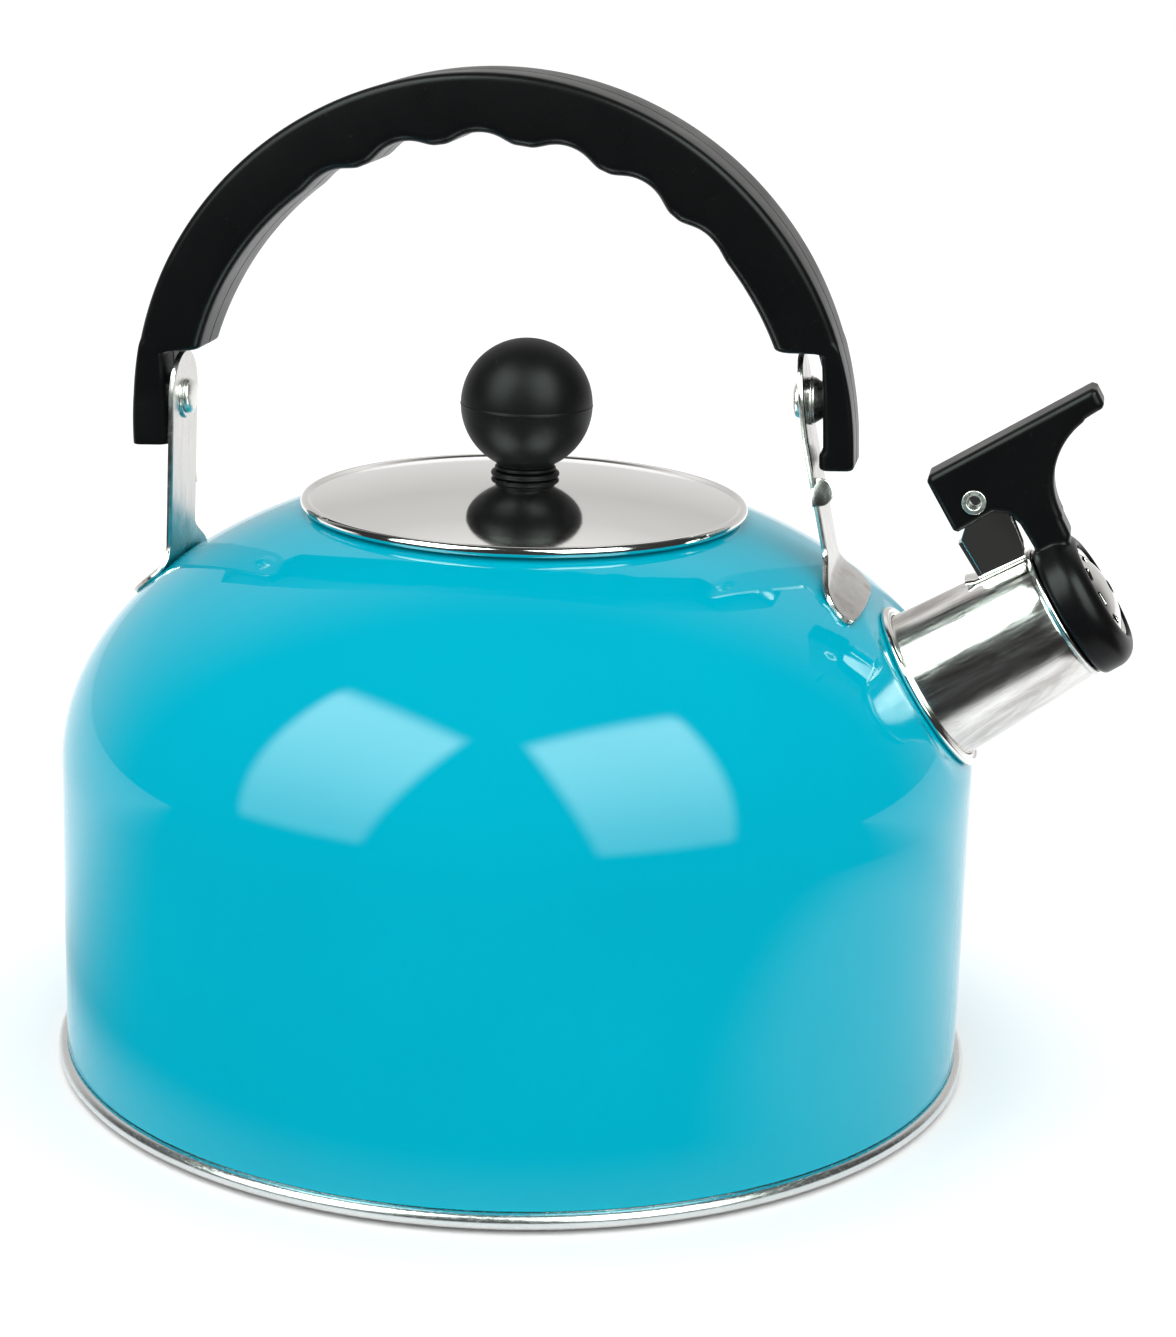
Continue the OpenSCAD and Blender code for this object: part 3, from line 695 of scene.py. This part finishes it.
def inner_radius(turn):
    """Radius of the grip's inner edge at an angle round the arch: arms, finger pad, grooves and ledges."""
    arm = ARCH_R - GRIP_DEPTH
    angle = np.degrees(turn)
    pad = (smooth_step(angle, GROOVES[0] - 2, GROOVES[0] + 2)
           - smooth_step(angle, GROOVES[-1] - 2, GROOVES[-1] + 2))
    r = arm - CREST_H * pad
    centre = arm - CREST_H + GROOVE_DEPTH - GROOVE_R
    for groove in GROOVES:
        off = turn - radians(groove)
        across = GROOVE_R ** 2 - (centre * np.sin(off)) ** 2
        reach = centre * np.cos(off) + np.sqrt(np.maximum(across, 0))
        reach = np.where((across > 0) & (np.abs(off) < 1), reach, 0)
        r = smooth_max(r, reach, 1.1)
    for start, skirt in ((turn, SKIRT_IN[0]), (pi - turn, SKIRT_IN[1])):
        side = skirt / np.maximum(np.cos(start), 0.3)
        ledge = STEP_V / np.maximum(np.sin(start), 0.02)
        r = smooth_max(r, np.where(np.cos(start) > 0.3, smooth_min(side, ledge, 2.6), 0), 3.5)
    return r


def grip_stations():
    """Inner edge, outer edge, half width and end rounding at each station along the grip, in (u, v)."""
    dense = np.arange(14.5, 19.5, 0.16)
    turn = np.radians(np.concatenate([np.arange(0, 14.5, 1.2), dense, np.arange(19.5, 160.5, 0.55),
                                      180 - dense[::-1], np.arange(166, 180.1, 1.2)]))
    r = inner_radius(turn)
    ring = np.stack([np.cos(turn), np.sin(turn)], 1)
    stations = [(i, o, 0.0) for i, o in zip(ring * r[:, None], ring * ARCH_R)]
    edge = 0.9
    for side, first in ((0, True), (1, False)):
        end = SKIRT_END[side]
        sign = 1 if first else -1
        tail = []
        for v in np.linspace(-0.12, end + edge, 7 if first else 1):
            heel = HEEL * float(smooth_step(-v, 0.3, 1.5)) * first
            tail.append((v, heel, 0.0))
        heel = HEEL * first
        for a in np.linspace(0.25, 1, 4) * pi / 2:
            fall = edge * sin(a) * (1 if first else 0.4)
            tail.append((min(end + edge, -0.12) - fall, heel, edge * (1 - cos(a))))
        rows = [(np.array([sign * (SKIRT_IN[side] - h), v]), np.array([sign * ARCH_R, v]), e)
                for v, h, e in tail]
        stations = rows[::-1] + stations if first else stations + rows
    return stations


def grip_half_width(v):
    """Half the grip's width at a height, wider in the hand than at the skirts."""
    return np.interp(v, [10, 20, 34, 50], [7.0, 8.0, 9.6, 10.5])


def grip_half(side):
    """One moulded half of the grip. side is -1 for the half that faces the viewer."""
    seam, outer_round, inner_round = 0.28, 1.7, 2.4
    rings = []
    for inner, outer, end in grip_stations():
        across = outer - inner
        depth = float(np.hypot(*across))
        across = across / depth
        half = float(grip_half_width((inner[1] + outer[1]) / 2)) - end
        tight = min(1.0, (depth - 2 * end) / 9)
        ri, ro = inner_round * tight, outer_round * tight
        section = [(end + seam, 0.03), (end, 0.03 + seam), (end, half * 0.45)]
        section += arc((end + ri, half - ri), ri, 180, 90, 7)
        section += [(depth / 2, half)]
        section += arc((depth - end - ro, half - ro), ro, 90, 0, 7)
        section += [(depth - end, half * 0.45), (depth - end, 0.03 + seam), (depth - end - seam, 0.03)]
        rings.append([(inner[0] + across[0] * a, side * h, inner[1] + across[1] * a) for a, h in section])
    return stacked(rings)


def grip():
    """Both halves of the grip, the back one with sunk holes for the screws."""
    front = mesh_object("grip_half_front", grip_half(-1), HANDLE)
    dress(front, GRIP, "grip_black", "handle", "grip_front")
    back = mesh_object("grip_half_back", grip_half(1), HANDLE)
    screw_ring, head_r = 65, 2.5
    for angle in (35, 80.5, 145):
        at = Vector((screw_ring * cos(radians(angle)), 0, screw_ring * sin(radians(angle))))
        cut(back, rod(head_r, 4.5, 14), HANDLE @ Matrix.Translation(at) @ Matrix.Rotation(-pi / 2, 4, "X"))
    dress(back, GRIP, "grip_black", "handle", "grip_back")


def strap_line(side):
    """The strap's middle plane at the hinge: a point, and its downward and outward directions."""
    sign = FACING[side]
    at = HANDLE @ Vector((sign * STRAP_U[side], 0, HINGE_V))
    turn = HANDLE.to_3x3()
    down = turn @ Vector((sign * sin(STRAP_LEAN), 0, -cos(STRAP_LEAN)))
    out = turn @ Vector((sign * cos(STRAP_LEAN), 0, sin(STRAP_LEAN)))
    return at + out * STRAP_T / 2, down, out


def strap_set(side, drop):
    """How far outwards the strap's bend has carried it at a distance below the hinge."""
    return np.logaddexp(0, (drop - SET_DROP) / SET_SOFT) * SET_SOFT * sin(STRAP_SET[side])


def strap_surface(side):
    """Rows of points on the strap's middle surface, from its round top over the bend to the foot's tip."""
    sign = FACING[side]
    at, down, out = strap_line(side)
    foot_mid = 0.5
    foot_slant = 0.86
    top = -(STRAP_TOP + STRAP_HALF)

    def plane(drop):
        """X and Z of the strap's middle at a distance below the hinge."""
        bend = strap_set(side, drop)
        return at.x + drop * down.x + bend * out.x, at.z + drop * down.z + bend * out.z

    def crease(y):
        """How far down the plane it meets the shoulder, at each y."""
        low, high = np.zeros_like(y), np.full_like(y, 60.0)
        for _ in range(40):
            mid = (low + high) / 2
            x, z = plane(mid)
            above = z > shoulder_z(np.hypot(x, y), foot_mid)
            low, high = np.where(above, mid, low), np.where(above, high, mid)
        return low

    def point(sigma, y):
        """Point at a distance past the crease: negative is up the strap, positive is out along the foot."""
        meet = crease(y)
        go = meet + np.minimum(sigma, 0)
        x, z = plane(go)
        x = x + sign * foot_slant * np.maximum(sigma, 0)
        z = np.where(sigma > 0, shoulder_z(np.hypot(x, y), foot_mid), z)
        return np.stack([x, y, z], -1)

    columns = np.sin(np.linspace(-1, 1, 33) * pi / 2)
    reach = float(crease(np.zeros(1))[0])
    length = reach - top
    start = np.concatenate([STRAP_HALF * (1 - np.cos(np.linspace(0, pi / 2, 14))),
                            np.linspace(STRAP_HALF + 1, length - 12, 8)])
    sigma = np.concatenate([start - length, np.arange(-11, 3, 0.5), np.arange(3, (8.8, 10.4)[side], 0.4)])
    rows = []
    for s in sigma:
        from_top = s + length
        w = STRAP_HALF
        if from_top < STRAP_HALF:
            w = sqrt(max(STRAP_HALF ** 2 - (STRAP_HALF - from_top) ** 2, 0.001))
        wide = w + 10.5 * float(smooth_step(s, -6, 0.5)) + 3.0 * float(smooth_step(s, 0, 4))
        narrow = w + 2.6 * float(smooth_step(s, -4, 1)) - 2.6 * float(smooth_step(s, 3, 8))
        tip = (8.6, 10.2)[side]
        close = sqrt(max(1 - max((s + 4 - tip) / 4, 0) ** 2.4, 0.0004))
        y = -sign * close * np.where(columns > 0, columns * wide, columns * narrow)
        window = np.linspace(-2.2, 2.2, 7)
        near = max(0.0, 1 - abs(s) / 8)
        rows.append(np.mean([point(np.full_like(y, s + d * near), y) for d in window], 0))
    return np.array(rows)


def thick_sheet(middle, thickness):
    """A closed sheet round a grid of middle points, with its side edges rounded."""
    along = np.gradient(middle, axis=0)
    across = np.gradient(middle, axis=1)
    normal = np.cross(along, across)
    normal /= np.maximum(np.linalg.norm(normal, axis=2), 1e-9)[..., None]
    normal[0], normal[-1] = normal[1], normal[-2]
    side = across / np.maximum(np.linalg.norm(across, axis=2), 1e-9)[..., None]
    half = thickness / 2
    upper, lower = middle + normal * half, middle - normal * half
    lift = half * 0.7
    left = [middle[:, 0] + normal[:, 0] * lift - side[:, 0] * lift, middle[:, 0] - side[:, 0] * half,
            middle[:, 0] - normal[:, 0] * lift - side[:, 0] * lift]
    right = [middle[:, -1] - normal[:, -1] * lift + side[:, -1] * lift, middle[:, -1] + side[:, -1] * half,
             middle[:, -1] + normal[:, -1] * lift + side[:, -1] * lift]
    ring = np.concatenate([upper[:, ::-1], np.stack(left, 1), lower, np.stack(right, 1)], 1)
    return stacked(ring)


def strap(side, name, node):
    """One strap with its foot, the ear bent from its edge and the boss round its rivet."""
    sign = FACING[side]
    at, down, out = strap_line(side)
    toward = SIDE_Y * -sign
    ear_at = at + down * EAR_DROP + out * float(strap_set(side, EAR_DROP) - STRAP_T / 2)
    ear_frame = axes_matrix(out, -down, toward, ear_at)
    r = EAR_R
    middle = STRAP_HALF + STRAP_T / 2 - 0.4
    outline = [(0.1, -r), (EAR_REACH, -r)] + arc((EAR_REACH, 0), r, -80, 80, 18) + [(EAR_REACH, r), (0.1, r)]
    ear = plate(outline, -STRAP_T / 2, STRAP_T / 2, 0.35)
    ear_place = ear_frame @ Matrix.Translation((0, 0, middle)) @ Matrix.Rotation(-EAR_LEAN, 4, "X")
    fillet = plate([(0.2, -r), (1.3, -r), (1.3, r), (0.2, r)], middle - 1.5, middle + 0.2, 0.3)
    base = STRAP_U[side] - BOSS_BACK
    boss = lathe([(2.6, base), (4.2, base)] + arc((4.2, base + 0.35), 0.35, -90, 0, 4)
                 + [(4.6, base + BOSS_T), (2.6, base + BOSS_T)], 72)
    part = joined(thick_sheet(strap_surface(side), STRAP_T), moved(ear, ear_place), moved(fillet, ear_frame),
                  moved(boss, HINGE_AXIS[side]))
    dress(mesh_object(name, part), STRAP, "strap_steel", "kettle", node)


def strap_rivet(side, name, node):
    """Domed head inside the strap, and the shank into the handle."""
    base = STRAP_U[side] - BOSS_BACK
    head = 3.6
    outline = [(0, base + 7)] + [(2.45, base + 7), (2.45, base)] + [(head - 0.25, base)]
    outline += arc((head - 0.3, base - 0.3), 0.3, 90, -20, 5)
    rise, flat = 1.75, 0.3
    for turn in np.linspace(0, pi / 2, 14):
        outline.append(((head - 0.08) * cos(turn), base - 0.4 - (rise - 0.4) * sin(turn) ** (1 - flat)))
    outline[-1] = (0, base - rise)
    dress(mesh_object(name, lathe(outline, 72), HINGE_AXIS[side]), FASTENER, "fastener_steel", "handle", node)


def washers():
    """A flat washer outside each strap, and a conical one that takes up the front gap."""
    rings = []
    for side in (0, 1):
        base = STRAP_U[side] - BOSS_BACK + BOSS_T
        ring = [(2.55, base), (4.7, base)] + arc((4.72, base + WASHER_T / 2), WASHER_T / 2 - 0.02, -80, 80, 8)
        rings.append(moved(lathe(ring + [(2.55, base + WASHER_T)], 72), HINGE_AXIS[side]))
    dress(mesh_object("washer_pair", joined(*rings)), FASTENER, "fastener_steel", "handle", "flat_washers")
    base = STRAP_U[0] - BOSS_BACK + BOSS_T + WASHER_T
    gap = SKIRT_IN[0] - base
    cone = [(2.55, gap - 0.75), (3.8, 0.05)] + arc((4.4, 0.3), 0.28, -90, 60, 6) + [(3.3, gap), (2.55, gap)]
    part = lathe([(r, base + z) for r, z in cone], 72)
    washer = mesh_object("cone_washer", part, HINGE_AXIS[0])
    dress(washer, FASTENER, "fastener_steel", "handle", "spring_washer")


# ---- whistle ----

PIVOT_ACROSS = SPOUT_SIDE @ Matrix.Translation((*PIVOT, 0))


def lever_field(s, n, w):
    """Field of the lever, its stem and the cap ring, in the spout's (s, n, w)."""
    outline = [(22.6, 25.2), (21.9, 25.9), (22.4, 37.1), (23.4, 38), (59.4, 36.9), (60.2, 36.1), (60, 33),
               (59.2, 32.3), (55.4, 32), (56.6, THUMB[1]), (41.9, THUMB[1]), (41.3, 13.5),
               (CAP_START + 6.6, 11), (CAP_START + 1.2, 11), (CAP_START + 1.2, 20.5), (33, 23.3), (30.6, 25.2)]
    flat = outline_field(s, n, outline)
    flat = smooth_max(flat, THUMB_R - np.hypot(s - THUMB[0], n - THUMB[1]), 1.0)
    arm = rounded_and(flat, np.abs(w) - LEVER_HALF, 1.6)
    rho = np.hypot(n, w)
    nose, foot = 4.5, 1.4
    cap_end = CAP_START + CAP_LEN
    block = rounded_and(rho - CAP_R, s - cap_end, nose)
    block = rounded_and(block, CAP_START - s, foot)
    bore_lip = 0.7
    ring = rounded_and(block, CAP_BORE - rho, bore_lip)
    shape = smooth_min(arm, ring, 0.5)
    plug = np.maximum(np.maximum(rho - PLUG_R, 9.25 - rho),
                      np.maximum(s - CAP_START - 1, CAP_START - PLUG_LEN - s))
    shape = np.minimum(shape, plug)
    bore = np.maximum(rho - CAP_BORE, CAP_START + 1 - s)
    shape = np.maximum(shape, -bore)
    pocket_outline = [(10, 10), (10, 31.6), (23.8, 31.6), (23.8, 35.4), (34, 35.2), (35.2, 33), (35.2, 24),
                      (34.6, 10)]
    pocket = np.maximum(outline_field(s, n, pocket_outline), np.abs(w) - 3.2)
    return np.maximum(shape, -pocket)


def lever():
    """Thumb lever and cap in one moulding, bored for the pivot."""
    part = surface_net(lever_field, (21, -16, -16), (61.5, 39, 16), 0.45)
    obj = mesh_object("whistle_arm", part, SPOUT_SIDE, LEVER_CREASE)
    cut(obj, rod(1.85, -12, 12), PIVOT_ACROSS, LEVER_CREASE)
    dress(obj, GRIP, "grip_black", "whistle", "whistle_lever")


def eyelet():
    """Hollow pivot rivet, rolled over into a flat ring on each side of the lever."""
    half = LEVER_HALF
    side = [(2.35, half + 0.02)] + arc((2.28, half + 0.2), 0.16, -60, 100, 6)
    side += [(1.75, half + 0.46)] + arc((1.6, half + 0.3), 0.17, 80, 180, 6) + [(1.25, half - 0.9)]
    outline = [(1.78, -half), (1.78, half)] + side + [(1.2, half - 1.6), (1.2, 1.6 - half)]
    outline += [(r, -z) for r, z in reversed(side)]
    dress(mesh_object("pivot_eyelet", lathe(outline, 72), PIVOT_ACROSS),
          FASTENER, "fastener_steel", "whistle", "whistle_rivet")


def sound_disc():
    """Domed disc in the cap's mouth, with a middle hole and a ring of slots."""
    r = CAP_BORE - 0.05
    rim = CAP_START + CAP_LEN - 1.2
    rise, t = 2.6, 0.4

    def dome(radius, lift):
        return rim + rise * (1 - (radius / (r - 0.9)) ** 2) + lift

    radii = np.linspace(0, r - 1.3, 20)
    outline = [(x, dome(x, 0)) for x in radii] + arc((r - 0.5, rim + 0.15), 0.5, 150, 0, 8)
    outline += [(r, rim - 3.4), (r - t, rim - 3.4), (r - t, rim)] + [(x, dome(x, -t)) for x in radii[::-1]]
    obj = mesh_object("sound_disc", lathe(outline, 120), SPOUT_AXIS)
    cut(obj, rod(1.5, rim, rim + 9), SPOUT_AXIS)
    slot_outline = arc((1.1, 0), 0.55, -90, 90, 8) + arc((-1.1, 0), 0.55, 90, 270, 8)
    for k in range(8):
        place = SPOUT_AXIS @ Matrix.Rotation(k * pi / 4, 4, "Z") @ Matrix.Translation((7.3, 0, 0))
        cut(obj, plate(slot_outline, rim - 1, rim + 9, 0.02), place @ Matrix.Rotation(pi / 2, 4, "Z"))
    dress(obj, MIRROR, "lid_steel", "whistle", "whistle_outer_disc")


def bracket():
    """Folded bracket that carries the lever: two cheeks, a web and a saddle on the tube."""
    outline = [(22.0, 13.6), (31.3, 13.6), (31.4, 15), (32, 16.2), (33.2, 24)]
    outline += arc(PIVOT, CHEEK_R, 0, 180, 22) + [(24.2, 25.4), (22.0, 23.4)]
    outside = CHEEK_IN + CHEEK_T
    parts = [moved(plate(outline, low, low + CHEEK_T, 0.2), SPOUT_SIDE) for low in (CHEEK_IN, -outside)]
    web = plate([(21.2, 14), (22.1, 14), (22.1, 23.0), (21.2, 23.0)], -outside, outside, 0.2)
    parts.append(moved(web, SPOUT_SIDE))
    reach = np.concatenate([np.linspace(18.4, 20.5, 8), np.linspace(21, 31.4, 12)])
    across = np.linspace(-3.3, 3.3, 15)
    rows = []
    for s in reach:
        curl = 0.5 * float(1 - smooth_step(s, 18.4, 20.4))
        r = tube_radius(s) + 0.42 + curl
        turn = np.arcsin(across / r)
        rows.append(np.stack([np.full(len(turn), s), r * np.cos(turn), r * np.sin(turn)], 1))
    parts.append(moved(thick_sheet(np.array(rows), CHEEK_T), SPOUT_SIDE))
    dress(mesh_object("whistle_saddle", joined(*parts)), MIRROR, "tube_steel", "kettle", "whistle_bracket")


body()
base_rim()
spout()
lid()
knob()
grip()
strap(0, "strap_front", "front_strap")
strap(1, "strap_rear", "rear_strap")
strap_rivet(0, "rivet_front", "front_rivet")
strap_rivet(1, "rivet_rear", "rear_rivet")
washers()
lever()
eyelet()
sound_disc()
bracket()

KEPT = {"heat_disc": ALLOY, "base_cap": SATIN, "handle_core": SATIN, "grip_screws": FASTENER,
        "lid_skirt": SATIN, "knob_insert": BRASS, "knob_screw": FASTENER, "knob_washer": FASTENER,
        "whistle_spring": FASTENER, "whistle_inner_disc": SATIN}
for node, material in KEPT.items():
    kept = frame["nodes"][node]
    kept.data.materials.clear()
    kept.data.materials.append(material)


# ---- studio ----

# Level direction from the kettle to the viewer
FRONT = Vector((sin(radians(11)), -cos(radians(11)), 0))
UNDER_SPOUT = Vector((0.15, 0, 0))


def along(tree, place, way):
    """How far a place or direction lies along a unit vector."""
    node = tree.nodes.new("ShaderNodeVectorMath")
    node.operation = "DOT_PRODUCT"
    tree.links.new(place, node.inputs[0])
    node.inputs[1].default_value = way
    return node.outputs["Value"]


def distance(tree, place, centre):
    """How far a place is from a centre."""
    node = tree.nodes.new("ShaderNodeVectorMath")
    node.operation = "DISTANCE"
    tree.links.new(place, node.inputs[0])
    node.inputs[1].default_value = centre
    return node.outputs["Value"]


def soft_range(tree, value, low, high, to_low=0.0, to_high=1.0):
    node = tree.nodes.new("ShaderNodeMapRange")
    node.interpolation_type = "SMOOTHSTEP"
    tree.links.new(value, node.inputs["Value"])
    for key, number in zip(("From Min", "From Max", "To Min", "To Max"), (low, high, to_low, to_high)):
        node.inputs[key].default_value = number
    return node.outputs["Result"]


def product(tree, a, b):
    node = tree.nodes.new("ShaderNodeMath")
    node.operation = "MULTIPLY"
    tree.links.new(a, node.inputs[0])
    tree.links.new(b, node.inputs[1])
    return node.outputs["Value"]


def pale_floor():
    """A white sweep. Reflections of it darken in front, but not close to the kettle or under the spout."""
    n = Nodes("studio_floor")
    n.set(base_color=n.mix(n.noise(9, 2), (0.93, 0.93, 0.93), (0.95, 0.95, 0.95)), roughness=0.9,
          specular_ior_level=0.0)
    dark = n.tree.nodes.new("ShaderNodeBsdfDiffuse")
    dark.inputs["Color"].default_value = (0.03, 0.03, 0.03, 1)
    path = n.tree.nodes.new("ShaderNodeLightPath")
    front = soft_range(n.tree, along(n.tree, n.where, FRONT), -0.10, 0.05)
    off_kettle = soft_range(n.tree, distance(n.tree, n.where, (0, 0, 0)), 0.100, 0.130)
    off_spout = soft_range(n.tree, distance(n.tree, n.where, UNDER_SPOUT), 0.07, 0.13)
    front = product(n.tree, product(n.tree, front, off_kettle), off_spout)
    mix = n.tree.nodes.new("ShaderNodeMixShader")
    n.link(product(n.tree, path.outputs["Is Glossy Ray"], front), mix.inputs["Fac"])
    n.link(n.shader.outputs["BSDF"], mix.inputs[1])
    n.link(dark.outputs["BSDF"], mix.inputs[2])
    output = next(node for node in n.tree.nodes if node.type == "OUTPUT_MATERIAL")
    n.link(mix.outputs["Shader"], output.inputs["Surface"])
    size = 6.0
    mesh = bpy.data.meshes.new("studio_floor")
    corners = [(-size, -size, 0), (size, -size, 0), (size, size, 0), (-size, size, 0)]
    mesh.from_pydata(corners, [], [(0, 1, 2, 3)])
    floor = bpy.data.objects.new("studio_floor", mesh)
    floor.location.z = -0.0002
    bpy.context.scene.collection.objects.link(floor)
    mesh.materials.append(n.material)


def soft_edges(light):
    """Fades a softbox's glow towards its edges and its foot."""
    light.use_nodes = True
    tree = light.node_tree
    split = tree.nodes.new("ShaderNodeSeparateXYZ")
    tree.links.new(tree.nodes.new("ShaderNodeNewGeometry").outputs["Parametric"], split.inputs["Vector"])
    glow = soft_range(tree, split.outputs["Y"], 0.0, 0.9, 0.35)
    for axis, low, high in (("X", 0.0, 0.12), ("X", 1.0, 0.88), ("Y", 0.0, 0.12), ("Y", 1.0, 0.88)):
        glow = product(tree, glow, soft_range(tree, split.outputs[axis], low, high))
    emission = next(node for node in tree.nodes if node.type == "EMISSION")
    tree.links.new(glow, emission.inputs["Strength"])


def area_light(name, azimuth, elevation, away, width, height, glow, colour, for_surfaces):
    """A softbox of a given radiance that looks at the kettle, for lighting surfaces or for reflections."""
    light = bpy.data.lights.new(name, "AREA")
    light.shape = "RECTANGLE"
    light.size, light.size_y = width, height
    light.energy = glow * pi * width * height
    light.color = colour
    a, e = radians(azimuth), radians(elevation)
    way = Vector((sin(a) * cos(e), -cos(a) * cos(e), sin(e)))
    lamp = bpy.data.objects.new(name, light)
    lamp.location = Vector((0, 0, 0.09)) + way * away
    lamp.rotation_euler = way.to_track_quat("Z", "Y").to_euler()
    lamp.visible_diffuse = for_surfaces
    lamp.visible_glossy = not for_surfaces
    if not for_surfaces:
        soft_edges(light)
    bpy.context.scene.collection.objects.link(lamp)
    return lamp


def studio_world():
    """Even white light, and a room for reflections: pale behind and at the sides, dark in front."""
    world = bpy.data.worlds.new("studio")
    bpy.context.scene.world = world
    world.use_nodes = True
    tree = world.node_tree
    tree.nodes.clear()
    where = tree.nodes.new("ShaderNodeTexCoord").outputs["Generated"]
    height = along(tree, where, (0, 0, 1))
    ramp = tree.nodes.new("ShaderNodeValToRGB")
    tree.links.new(soft_range(tree, height, 0, 1), ramp.inputs["Fac"])
    stops = ((0.0, 0.74), (0.25, 0.62), (0.5, 0.70), (0.75, 0.98), (0.93, 0.98), (1.0, 0.45))
    ramp.color_ramp.elements[0].position = stops[0][0]
    ramp.color_ramp.elements[1].position = stops[-1][0]
    for position, _ in stops[1:-1]:
        ramp.color_ramp.elements.new(position)
    for element, (_, tone) in zip(ramp.color_ramp.elements, stops):
        element.color = (tone, tone * 0.99, tone * 0.975, 1)
    shade = tree.nodes.new("ShaderNodeMix")
    shade.data_type = "RGBA"
    tree.links.new(soft_range(tree, along(tree, where, FRONT), -0.75, -0.25), shade.inputs["Factor"])
    colours = [socket for socket in shade.inputs if socket.type == "RGBA"]
    tree.links.new(ramp.outputs["Color"], colours[0])
    colours[1].default_value = (0.035, 0.035, 0.035, 1)
    room = tree.nodes.new("ShaderNodeBackground")
    tree.links.new(next(s for s in shade.outputs if s.type == "RGBA"), room.inputs["Color"])
    white = tree.nodes.new("ShaderNodeBackground")
    white.inputs["Color"].default_value = (1, 1, 1, 1)
    white.inputs["Strength"].default_value = 1.07
    path = tree.nodes.new("ShaderNodeLightPath")
    mix = tree.nodes.new("ShaderNodeMixShader")
    tree.links.new(path.outputs["Is Glossy Ray"], mix.inputs["Fac"])
    tree.links.new(white.outputs["Background"], mix.inputs[1])
    tree.links.new(room.outputs["Background"], mix.inputs[2])
    output = tree.nodes.new("ShaderNodeOutputWorld")
    tree.links.new(mix.outputs["Shader"], output.inputs["Surface"])


def camera():
    """The view: turned from the kettle's side, looking slightly down, with a short telephoto lens."""
    yaw, pitch, roll, round_z = 0.0235, 0.2710, 0.0291, radians(11)
    data = bpy.data.cameras.new("view")
    data.lens = 79.92
    data.sensor_width = 36
    data.clip_start = 0.01
    forward = Vector((sin(yaw) * cos(pitch), cos(yaw) * cos(pitch), -sin(pitch)))
    level = Vector((cos(yaw), -sin(yaw), 0))
    upright = Vector((sin(yaw) * sin(pitch), cos(yaw) * sin(pitch), cos(pitch)))
    right = level * cos(roll) + upright * sin(roll)
    up = upright * cos(roll) - level * sin(roll)
    obj = bpy.data.objects.new("view", data)
    turn = Matrix.Rotation(round_z, 4, "Z")
    obj.matrix_world = turn @ axes_matrix(right, up, -forward, Vector((0, -0.59454, 0.24712)))
    bpy.context.scene.collection.objects.link(obj)
    bpy.context.scene.camera = obj


pale_floor()
studio_world()
camera()
for name, azimuth, width in (("box_left", -41, 0.80), ("box_right", 46, 0.82)):
    area_light(name, azimuth, 35, away=1.1, width=width, height=1.30, glow=11, colour=(0.92, 1.07, 1.0),
               for_surfaces=False)
area_light("top_box", 0, 80, away=1.4, width=1.6, height=1.4, glow=1.2, colour=(1, 1, 1), for_surfaces=True)
bpy.context.scene.view_settings.view_transform = "Standard"
